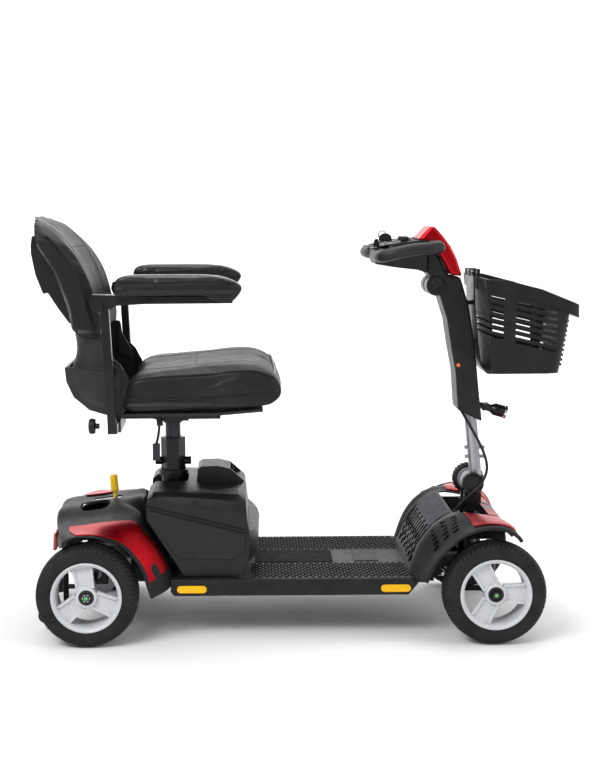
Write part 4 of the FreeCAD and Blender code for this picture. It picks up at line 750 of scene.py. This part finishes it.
def pinch(obj, lines, width=7.0, depth=2.2):
    """Presses sewn seams into an upholstered form along lines of points."""
    spots = [Vector(p) / 1000 for line in lines for p in even_line(line, 160)]
    tree = KDTree(len(spots))
    for i, p in enumerate(spots):
        tree.insert(p, i)
    tree.balance()
    normals = [v.normal.copy() for v in obj.data.vertices]
    for v, n in zip(obj.data.vertices, normals):
        d = tree.find(v.co)[2] * 1000
        if d < width:
            v.co -= n * (depth / 1000) * (math.cos(math.pi * d / width) + 1) / 2


def piping(name, line, target, radius, body, look="bolster", sink=0.3):
    """A welt that follows an upholstered surface."""
    mesh = target.data
    tree = BVHTree.FromPolygons([v.co for v in mesh.vertices], [p.vertices for p in mesh.polygons])
    points = []
    for p in even_line(line, 70):
        spot, normal, _, _ = tree.find_nearest(p / 1000)
        points.append((spot + normal * (radius - sink) / 1000) * 1000 if normal else p)
    smoothed = [(points[max(0, i - 1)] + points[i] * 2 + points[min(len(points) - 1, i + 1)]) / 4
                for i in range(len(points))]
    return tube(name, smoothed, radius, look, body, count=150, sides=12)


def loft_form(name, sections, count):
    """A closed form through closed outlines in X and Z at given Y, with rounded ends."""
    rows = []
    for y, line in sections:
        rows.append([(p.x, y, p.y) for p in even_line(line, count, closed=True)])
    return grid(name, rows, closed=True, caps=True)


def shrunk(line, by):
    """The outline with every point moved towards its middle."""
    cx = sum(p[0] for p in line) / len(line)
    cz = sum(p[1] for p in line) / len(line)
    out = []
    for x, z in line:
        d = math.hypot(x - cx, z - cz) or 1
        out.append((x + (cx - x) * by / d, z + (cz - z) * by / d))
    return out


def upholster(pad, look, body, node):
    """Finishes a stuffed form as a padded cushion that replaces a node."""
    finish_piece(pad, look, body, [node])
    fine = pad.modifiers.new("Fine", "SUBSURF")
    fine.levels = fine.render_levels = 1


SEAT_SIDE = [(-398, 509), (-400, 545), (-392, 570), (-362, 581), (-300, 587), (-220, 595), (-150, 600),
             (-105, 597), (-76, 585), (-58, 563), (-54, 543), (-66, 526), (-100, 515), (-200, 508),
             (-300, 507)]
SEAT_MIDDLE = [(-394, 509), (-396, 545), (-388, 565), (-362, 573), (-300, 579), (-220, 587), (-150, 592),
               (-105, 590), (-74, 579), (-54, 560), (-49, 542), (-60, 526), (-98, 515), (-200, 508),
               (-300, 507)]
sections = []
for y, by in ((-213, 24), (-212, 13), (-207, 6), (-196, 2), (-178, 1)):
    sections.append((y, shrunk(SEAT_SIDE, by)))
for y, share in ((-140, 0.0), (-100, 0.3), (-50, 0.9), (0, 1.0)):
    sections.append((y, between(SEAT_SIDE, SEAT_MIDDLE, share)))
sections += [(-y, line) for y, line in sections[-2::-1]]
seat = stuff(loft_form("seat_pad", sections, 60), limit=0.006, still=lambda p: p.z < 520)
SEAT_TOP = [(-392, 204, 571), (-340, 206, 580), (-250, 206, 588), (-160, 206, 593), (-110, 205, 591),
            (-82, 203, 578)]
FRONT_WELT = [(-82, -203, 578), (-76, -170, 583), (-70, -90, 581), (-68, 0, 577), (-70, 90, 581),
              (-76, 170, 583), (-82, 203, 578)]
CHANNEL = [(-385, 573), (-300, 585), (-200, 596), (-130, 599), (-90, 592), (-64, 570)]
CHANNELS = [[(x, sign * 122, z) for x, z in CHANNEL] for side, sign in SIDES]
CHANNELS.append([(-250, y, 600) for y in (-122, -60, 0, 60, 122)])
pinch(seat, CHANNELS, 8, 3.0)
upholster(seat, "vinyl", "seat", "seat_cushion")
SEAT_BASE = [(-396, 209, 533), (-300, 211, 533), (-200, 211, 536), (-100, 210, 545), (-66, 206, 552)]
for (side, sign), channel in zip(SIDES, CHANNELS):
    piping("seat_welt_" + side, [(x, sign * y, z) for x, y, z in SEAT_TOP], seat, 2.2, "seat")
    piping("seat_seam_" + side, channel, seat, 0.9, "seat", "thread", 0.9)
    piping("seat_low_welt_" + side, [(x, sign * y, z) for x, y, z in SEAT_BASE], seat, 1.6, "seat")
piping("seat_front_welt", FRONT_WELT, seat, 2.2, "seat")
piping("seat_cross_seam", CHANNELS[2], seat, 0.9, "seat", "thread", 0.9)

BACK_FRONT = [(-438, 672), (-453, 736), (-473, 801), (-503, 854), (-545, 897), (-574, 915)]
BACK_REAR = [(-503, 668), (-520, 726), (-546, 800), (-566, 842), (-584, 876), (-594, 900)]
sections = []
for share, thin in ((-1, 20), (-0.985, 12), (-0.95, 5), (-0.88, 1), (-0.7, 0), (-0.5, 0), (-0.25, 0), (0, 0)):
    y = share * 200
    dip = 1 - share ** 2
    front = [(x - 30 * dip - thin * 0.8, z - thin * 0.35 * max(0, (z - 740) / 175)) for x, z in BACK_FRONT]
    rear = [(x + 9 - 8 * dip, z) for x, z in BACK_REAR[::-1]]
    rise = 11 * dip - 30 * abs(share) ** 8
    ring = [(x, z + rise * max(0, (z - 770) / 145)) for x, z in front + rear]
    sections.append((y, ring))
sections += [(-y, line) for y, line in sections[-2::-1]]
back = stuff(loft_form("back_pad", sections, 60), limit=0.006, still=lambda p: p.x < -585 or p.z < 676)


def on_back(y, z):
    """A point of the back cushion's front face."""
    x = next((a + (c - a) * (z - b) / (d - b) for (a, b), (c, d) in zip(BACK_FRONT, BACK_FRONT[1:])
              if b <= z <= d), BACK_FRONT[-1][0])
    return x - 30 * (1 - (y / 202) ** 2), y, z


BACK_LINES = [[on_back(s * 128, z) for z in (676, 720, 770, 820, 865, 898)] for s in (-1, 1)]
BACK_LINES.append([on_back(y, 850) for y in (-128, -60, 0, 60, 128)])
pinch(back, BACK_LINES, 8, 3.0)
upholster(back, "vinyl", "backrest", "back_cushion")
BACK_EDGE = [(-462, 199, 674), (-476, 200, 736), (-495, 200, 800), (-520, 200, 850), (-556, 198, 892)]
for (side, sign), seam in zip(SIDES, BACK_LINES):
    piping("back_seam_" + side, seam, back, 0.9, "backrest", "thread", 0.9)
    piping("back_welt_" + side, [(x, sign * y, z) for x, y, z in BACK_EDGE], back, 2.2, "backrest")
piping("back_cross_seam", BACK_LINES[2], back, 0.9, "backrest", "thread", 0.9)
tube("back_hem", [(-452, -196, 671), (-470, -120, 671), (-478, 0, 671), (-470, 120, 671), (-452, 196, 671)],
     4.5, "bolster", "backrest", count=60)
pocket = [(-600, 882), (-603, 862), (-603, 844), (-594, 797), (-578, 755), (-568, 758), (-545, 722),
          (-522, 690), (-512, 690), (-520, 726), (-540, 790), (-566, 845), (-586, 884)]
slab("back_pocket", pocket, -120, 120, "frame", "backrest", bevel=3.0)
NECK = [(671, -505), (656, -502.5), (641, -501.5), (627, -503), (613, -507), (598, -512)]
rows = []
for z, x in NECK:
    half = [(-438, -186), (x + 40, -186)]
    bend = [math.pi * k / 16 for k in range(1, 9)]
    half += [(x + 40 - 40 * math.sin(a), -146 - 40 * math.cos(a)) for a in bend]
    half += [(x, -90), (x, -45)]
    rows.append([(a, b, z) for a, b in half] + [(x, 0, z)] + [(a, -b, z) for a, b in half[::-1]])
neck = grid("neck_shell", rows)
neck_wall = neck.modifiers.new("Thick", "SOLIDIFY")
neck_wall.thickness = 0.002
neck_wall.offset = 0
finish_piece(applied(neck), "shell", "backrest", ["back_shell"], bevel=0.6)
for side, sign in SIDES:
    cheek = [(-442, 668), (-442, 590), (-430, 583), (-412, 583), (-410, 600), (-416, 612), (-432, 640),
             (-436, 668)]
    slab(f"neck_cheek_{side}", cheek, sign * 181.5 - 2.5, sign * 181.5 + 2.5, "shell", "backrest", bevel=1.0)
BOWL = [(-518.6, 603), (-518, 586), (-514.5, 566), (-506, 546), (-491, 528), (-470, 512.5), (-440, 503.2),
        (-404, 498.8)]
BOWL_EYE = [(-425, 590)] * len(BOWL)
wrap = [(y, between(BOWL_EYE, BOWL, share)) for y, share in
        ((-193.6, 0.04), (-193.4, 0.5), (-192.6, 0.8), (-189, 0.935), (-181, 0.99), (-165, 1.0), (0, 1.0))]
wrap += [(-y, line) for y, line in wrap[-2::-1]]
skin("seat_bowl", wrap, 40, 5, 1.4, "shell", "seat", bevel=0.5)
for side, sign in SIDES:
    plate = [(-441, 606), (-428, 616), (-414, 616), (-402, 604), (-386, 574), (-384, 520), (-398, 505),
             (-420, 505)]
    slab(f"hinge_plate_{side}", plate, sign * 194 - 1.6, sign * 194 + 1.6, "frame", "seat", bevel=0.7)
    lathe(f"hinge_bolt_{side}", [(9.5, 0), (9.8, 0.8), (8, 3.6), (5.4, 4.2), (5, 2.8), (0.01, 2.8)],
          (-418, sign * 195.4, 595), "frame", "seat", steps=40, bevel=0, axis=outward(sign))

# ---------------------------------------------------------------- armrests
for side, sign in SIDES:
    y = sign * 254
    sections = []
    shape = [(-402, 759), (-407, 764), (-409, 778), (-406, 791), (-397, 798.5), (-380, 800.5), (-300, 800.5),
             (-210, 799.5), (-182, 796.5), (-158, 788), (-144, 779), (-142, 773), (-147, 763), (-158, 750),
             (-166, 744.5), (-178, 743.6), (-206, 749), (-222, 757.5), (-320, 758.6)]
    for share, by in ((-1, 9), (-0.975, 5), (-0.88, 1.5), (-0.6, 0), (0, 0), (0.6, 0), (0.88, 1.5),
                      (0.975, 5), (1, 9)):
        sections.append((y + share * 26.5, shrunk(shape, by)))
    pad = stuff(loft_form("arm_cushion_" + side, sections, 76), limit=0.002, voxel=0.0035,
                still=lambda p: p.z < 766)
    crease = [[(x, y + s * 26.5, 778 + 0.012 * (x + 409)) for x in (-404, -330, -250, -190, -150)]
              for s in (-1, 1)]
    crease.append([(-141.5, y + k, 778) for k in (-24, 0, 24)])
    pinch(pad, crease, 4.5, 2.4)
    body = f"arm_pad_{side}"
    upholster(pad, "bolster", body, f"armrest_{side}")
    cy = sign * 240
    rail = [(-458, 762), (-462, 746), (-456, 730), (-443, 725), (-428, 728), (-404, 738), (-345, 741),
            (-163, 741), (-160, 757), (-345, 758), (-404, 760)]
    slab(f"arm_rail_{side}", rail, cy - 16.5, cy + 16.5, "frame", body, bevel=2.0,
         cuts=[raw_box("cut_eye", (-470, cy - 11, 715), (-408, cy + 11, 757))])
    for k, x in enumerate((-337, -193)):
        lathe(f"arm_screw_{side}_{k}", [(5, 0), (5.4, 0.8), (4.4, 2.6), (2.4, 3.0), (2.2, 1.6), (0.01, 1.6)],
              (x, cy + sign * 16.3, 747), "frame", body, steps=32, bevel=0, axis=outward(sign))
    lathe(f"arm_bolt_{side}", [(9, 0), (9.4, 1), (8, 4.2), (4.6, 4.8), (4.2, 3.2), (0.01, 3.2)],
          (-440, cy + sign * 16.3, 738), "frame", body, steps=40, bevel=0, axis=outward(sign))
    lathe(f"clamp_knob_{side}", [(6, 0), (6, 8), (15, 9), (17, 12), (17, 20), (14, 23), (5, 24)],
          (-452, sign * 190, 474), "frame", "seat",
          axis=(Vector((0, 0, 1)), Vector((0, 1, 0)), Vector((-1, 0, 0))), steps=48, bevel=0.8,
          wobble=lambda a, h, r: -1.6 * max(0, math.cos(6 * a)) if r > 13 else 0)

# ---------------------------------------------------------------- tiller
MAST = [(270, 792), (270, 859), (280, 851), (299, 825), (312, 797), (321, 784.5), (347, 780), (366, 716),
        (380, 630), (389, 537), (398, 452), (360, 471), (344, 478), (342, 499), (337, 568), (327, 621),
        (318, 682), (304, 728), (286, 775)]
slab("mast_cover", MAST, -42, 42, "console", "tiller", bevel=9.0, nodes=["tiller_shroud"], steps=5)
seam = [(364, 716), (378, 630), (387, 540), (394, 470)]
for side, sign in SIDES:
    tube(f"mast_rib_{side}", [(x - 13, sign * 42.2, z) for x, z in seam], 1.6, "smooth", "tiller", count=40)
DIAL_AT, KEY_AT, HORN_AT = (221, -18, 0), (179, -32, 0), (236, 30, 0)
CONSOLE = [(156, 811), (152, 824), (154, 839), (162, 849), (180, 854.5), (247, 863), (268.5, 863),
           (268.5, 791), (247, 798), (203, 803)]
wells = [raw_lathe("cut_dial", [(6.5, 855), (6.5, 880)], DIAL_AT, "Z", 32),
         raw_lathe("cut_key", [(3, 851), (3, 880)], KEY_AT, "Z", 24),
         raw_lathe("cut_horn", [(8.5, 855), (8.5, 880)], HORN_AT, "Z", 32),
         raw_box("cut_slot", (140, -70, 844), (200, 70, 852))]
slab("console_body", CONSOLE, -62, 62, "console", "tiller", bevel=7.0, nodes=["console_housing"], steps=5,
     cuts=wells)
COVER = [(249, 864), (279, 896), (289, 891), (305, 873), (322, 850), (336, 822), (349, 782), (322, 786),
         (312, 806), (301, 826), (281, 853)]
slab("cover_red", COVER, -57, 57, "red", "tiller", bevel=7.5, nodes=["console_cover"], steps=6)
slab("gauge_panel", [(200, 860.5), (258, 866.8), (258, 869), (200, 862.7)], -4, 22, "pearl", "tiller",
     bevel=1.0)
slab("gauge_window", [(209, 862.4), (250, 867.2), (250, 869.6), (209, 864.8)], 1, 17, "gloss", "tiller",
     bevel=0.8)
GRIP_ROUTE = [(174, -62.3, 832), (156, -112, 831), (160, -190, 834), (216, -201, 847), (272, -192, 851),
              (282, -122, 851), (280, -57.3, 850)]
for side, sign in SIDES:
    route = [(x, -sign * y, z) for x, y, z in GRIP_ROUTE]
    tube(f"grip_loop_{side}", route, 13, "grip", "tiller", count=110, sides=32,
         nodes=["handlebar"] if sign < 0 else ())
    for k, (x, z) in enumerate(((174, 832), (280, 850))):
        lathe(f"grip_collar_{side}_{k}", [(13.1, 0), (13.9, 0.8), (13.9, 5), (13.1, 6.5)], (x, sign * 62, z),
              "console", "tiller", steps=48, axis=outward(sign))
wings = []
for side, sign in SIDES:
    outline = [(176, 10), (150, 26), (143, 60), (140, 96), (144, 108), (153, 109), (156, 98), (157, 60),
               (166, 24), (184, 8)]
    pts = even_line(outline, 48, closed=True)
    rows = [[(p.x, sign * p.y, z) for p in pts] for z in (846.2, 849.6)]
    wings.append(finish_piece(grid(f"throttle_wing_{side}", rows, closed=True, caps=True), "shell",
                              "throttle", bevel=1.2))
wings.append(lathe("throttle_hub", [(12.5, 845), (12.8, 846), (12.8, 850), (12, 851)], (178, 0, 0), "shell",
                   "throttle", axis="Z"))
throttle = joined("throttle_paddles", wings)
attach(throttle, "throttle")
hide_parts("throttle_lever")
lathe("dial_knob", [(5.8, 857), (5.8, 863.2), (12, 863.4), (12, 869), (10.4, 871.4), (4, 872)], DIAL_AT,
      "console", "dial", axis="Z", steps=72, nodes=["speed_dial"], bevel=0, wobble=lambda a, h,
      r: -0.8 * max(0, math.cos(18 * a)) if r > 11 else 0)
block("dial_mark", (209.5, -18.8, 871.2), (217, -17.2, 872.6), "pearl", "dial", bevel=0.4)
lathe("horn_cap", [(7.8, 859), (7.8, 866.5), (6.6, 868.4), (3, 869)], HORN_AT, "orange", "horn", axis="Z",
      nodes=["horn_button"], bevel=0)
slab("key_head", [(166, 861), (192, 861), (194, 866), (192, 874), (184, 879), (174, 879), (166, 874),
                  (164, 866)], -34.6, -29.4, "frame", "key", bevel=1.6, nodes=["ignition_key"])
lathe("key_blade_piece", [(2.4, 853), (2.4, 862)], KEY_AT, "steel", "key", axis="Z")
ring = [(172 + 8.5 * math.cos(a), -32 + 2.0 * math.sin(2 * a), 876 + 8.5 * math.sin(a))
        for a in (math.pi * k / 8 for k in range(16))]
tube("key_ring", ring, 1.1, "frame", "key", closed=True, count=48, sides=10)
slab("spare_key", [(154, 842.5), (160, 840.5), (165, 846), (166, 858), (163, 866), (157, 867.5), (153, 862),
                   (152, 850)], -37.5, -35.5, "frame", "tiller", bevel=0.8)
BARREL = (292, 0, 761)
for side, sign in SIDES:
    drum = [(20.5, 0), (20.5, 41.6), (22.4, 42.4), (22.6, 45), (21, 48), (17.5, 48.6), (16.5, 47), (10, 46.4),
            (9.6, 48.2), (8.6, 48.8), (8.2, 46.6), (0.01, 46.6)]
    lathe(f"barrel_drum_{side}", drum, BARREL, "frame", "tiller", axis=outward(sign), bevel=0,
          nodes=["head_barrel"] if sign < 0 else ())
    band = [(21.4, 14), (22.2, 15), (22.2, 40), (21.4, 41)]
    lathe(f"barrel_band_{side}", band, BARREL, "pearl", "tiller", axis=outward(sign))
lathe("mast_orange_cap", [(4, 0), (4.4, 1), (3.6, 3), (0.01, 3.6)], (343, -42.0, 582), "orange", "tiller",
      bevel=0, axis=outward(-1), steps=32)

# fold joint: toothed clamp knob, disc with concentric rings
FOLD_PIVOT = (380, 0, 308)
teeth = [(6.5, 30.6), (30, 30.6), (34, 32), (36.6, 35), (37, 40), (36.4, 47), (33.5, 51), (27, 53),
         (24, 51.5), (15, 51), (13.5, 53.5), (6.5, 53.5)]
lathe("clamp_wheel", teeth + teeth[:1], FOLD_PIVOT, "frame", "fold_lock", steps=144, bevel=0,
      nodes=["fold_knob"], wobble=lambda a, h, r: -2.0 * max(0, math.cos(24 * a)) if r > 33 else 0)
rings = [(25, -30.2), (25, -31.6), (22.5, -32.6), (21, -31.6), (17.5, -31.6), (16.4, -33), (10.5, -33)]
lathe("fold_rings", rings[::-1], FOLD_PIVOT, "frame", "steering", steps=72, bevel=0)
lathe("fold_band", [(24.6, 18.5), (26.4, 19.5), (26.4, 28), (24.6, 29)], FOLD_PIVOT, "pearl", "steering",
      steps=72)

# headlight
LAMP_PIVOT = (414, 0, 480)
tip = Matrix.Rotation(math.radians(16), 3, "Y")
lamp_axis = (Vector((0, 1, 0)), tip @ Vector((0, 0, 1)), tip @ Vector((1, 0, 0)))
lamp = [(4, -6), (7.6, -4), (8.2, 4), (8.4, 10), (11, 14), (13.6, 18)]
for k in range(4):
    lamp += [(14.2, 20 + 4 * k), (14.2, 22.4 + 4 * k), (13.2, 22.8 + 4 * k), (13.2, 23.6 + 4 * k)]
lamp += [(14.3, 37), (14.3, 41)]
lathe("lamp_body", lamp, LAMP_PIVOT, "frame", "headlamp", axis=lamp_axis, steps=56, nodes=["headlight"],
      bevel=0)
lathe("lamp_bezel", [(14.2, 40.6), (15.6, 41.6), (15.8, 46.6), (14.6, 48), (12.6, 47.4), (11.6, 44)],
      LAMP_PIVOT, "chrome", "headlamp", axis=lamp_axis, steps=56, bevel=0)
lathe("lamp_glass", [(12.4, 43.4), (12.4, 45), (8, 46.2), (0.01, 46.8)], LAMP_PIVOT, "lens", "headlamp",
      axis=lamp_axis, steps=48, bevel=0)

# basket: horizontal ribs that follow its front wall
basket = NODES["basket"].data
wall = BVHTree.FromPolygons([v.co for v in basket.vertices], [p.vertices for p in basket.polygons])
ribs = []
for k in range(11):
    z = 590 + 10.6 * k
    spots = []
    for y in (-112, -104, -60, 0, 60, 104, 112):
        hit = wall.ray_cast(Vector((0.75, y / 1000, z / 1000)), Vector((-1, 0, 0)))[0]
        if hit:
            spots.append((hit.x * 1000 + 0.6, y, z))
    if len(spots) > 4:
        ribs.append(tube(f"basket_rib_{k}", spots, 3.4, "basket", "carrier_basket", count=40, sides=12,
                         smooth=False))
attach(joined("basket_ribs", ribs), "carrier_basket")

# wiring loom: one cable from the tiller cover to the gland on the steering boot
CABLE_ROUTE = [(352, -25, 478), (368, -26, 450), (387, -27, 417), (404, -30, 382), (414, -33, 345),
               (402, -36, 312), (378, -37, 289), (355, -32, 265), (340, -24, 243.5)]
cable = bpy.data.curves.new("loom", "CURVE")
cable.dimensions = "3D"
spline = cable.splines.new("NURBS")
spline.points.add(len(CABLE_ROUTE) - 1)
for point, spot in zip(spline.points, CABLE_ROUTE):
    point.co = (*[c / 1000 for c in spot], 1)
spline.order_u = 3
spline.use_endpoint_u = True
spline.resolution_u = 12
guide = bpy.data.objects.new("loom_line", cable)
SCENE.collection.objects.link(guide)
centre_line = [v.co.copy() for v in bpy.data.meshes.new_from_object(guide).vertices]
bpy.data.objects.remove(guide)
loom = tube("loom_cable", [p * 1000 for p in centre_line], 3.2, "grip", "tiller", smooth=False,
            count=len(centre_line), sides=20)
applied(loom)
loom.parent = None
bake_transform(loom)
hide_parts("wiring_loom")
lathe("loom_gland", [(7.6, 0), (7.6, 5), (5.6, 8), (4.6, 12), (3.5, 14)], (340, -24, 233), "grip", "steering",
      axis="Z")


# ---------------------------------------------------------------- floor, light and camera
floor_mat = bpy.data.materials.new("floor_pale")
floor_mat.use_nodes = True
floor_look = floor_mat.node_tree.nodes["Principled BSDF"].inputs
floor_look["Base Color"].default_value = (0.83, 0.83, 0.83, 1)
floor_look["Roughness"].default_value = 0.75
sweep = [(-20000, -0.6), (2600, -0.6), (3400, 60), (4000, 300), (4400, 800), (4600, 1600), (4700, 6000)]
rows = [[(x, y, z) for y, z in sweep] for x in (-20000, 20000)]
floor = grid("floor_sweep", rows)
floor.data.polygons.foreach_set("use_smooth", [True] * len(floor.data.polygons))
floor.data.materials.append(floor_mat)


def lamp_at(name, spot, aim, size, power):
    """A soft rectangular light, in metres and watts."""
    light = bpy.data.lights.new(name, "AREA")
    light.shape = "RECTANGLE"
    light.size, light.size_y = size
    light.energy = power
    obj = bpy.data.objects.new(name, light)
    obj.location = spot
    obj.rotation_euler = (Vector(aim) - Vector(spot)).to_track_quat("-Z", "Y").to_euler()
    SCENE.collection.objects.link(obj)


lamp_at("key_light", (-1.8, -2.4, 2.9), (0, 0, 0.4), (1.8, 1.2), 92)
lamp_at("fill_light", (2.9, -1.6, 1.7), (0, 0, 0.4), (1.4, 1.4), 26)
lamp_at("back_light", (-0.6, 3.2, 3.0), (0, 4.6, 1.4), (6.0, 2.0), 120)
lamp_at("top_light", (0.2, 0.6, 3.2), (0, 0, 0.4), (2.2, 1.6), 42)
world = bpy.data.worlds.new("studio")
world.use_nodes = True
sky = world.node_tree
sky.nodes["Background"].inputs["Color"].default_value = (1, 1, 1, 1)
where = sky.nodes.new("ShaderNodeTexCoord")
split = sky.nodes.new("ShaderNodeSeparateXYZ")
fade = sky.nodes.new("ShaderNodeMapRange")
for label, value in (("From Min", -0.05), ("From Max", 0.9), ("To Min", 0.34), ("To Max", 0.9)):
    fade.inputs[label].default_value = value
sky.links.new(where.outputs["Generated"], split.inputs["Vector"])
sky.links.new(split.outputs["Z"], fade.inputs["Value"])
sky.links.new(fade.outputs["Result"], sky.nodes["Background"].inputs["Strength"])
SCENE.world = world
SCENE.view_settings.view_transform = "Standard"

# the photograph's camera, solved from the wheel circles
CAMERA_SPOT = Vector((-0.150364, -3.034055, 0.941709))
yaw, pitch, roll = (math.radians(a) for a in (-0.4797, 5.635, -0.5536))
ahead = Vector((math.sin(yaw) * math.cos(pitch), math.cos(yaw) * math.cos(pitch), -math.sin(pitch)))
right = Vector((math.cos(yaw), -math.sin(yaw), 0))
up = right.cross(ahead)
side_way = math.cos(roll) * right + math.sin(roll) * up
upward = -math.sin(roll) * right + math.cos(roll) * up
lens = bpy.data.cameras.new("view")
lens.sensor_width = 36
lens.lens = 63.146
lens.shift_x = 0.0948
lens.shift_y = -0.0557
lens.clip_end = 60
camera = bpy.data.objects.new("view", lens)
turn = Matrix((side_way, upward, -ahead)).transposed()
camera.matrix_world = Matrix.Translation(CAMERA_SPOT) @ turn.to_4x4()
SCENE.collection.objects.link(camera)
SCENE.camera = camera
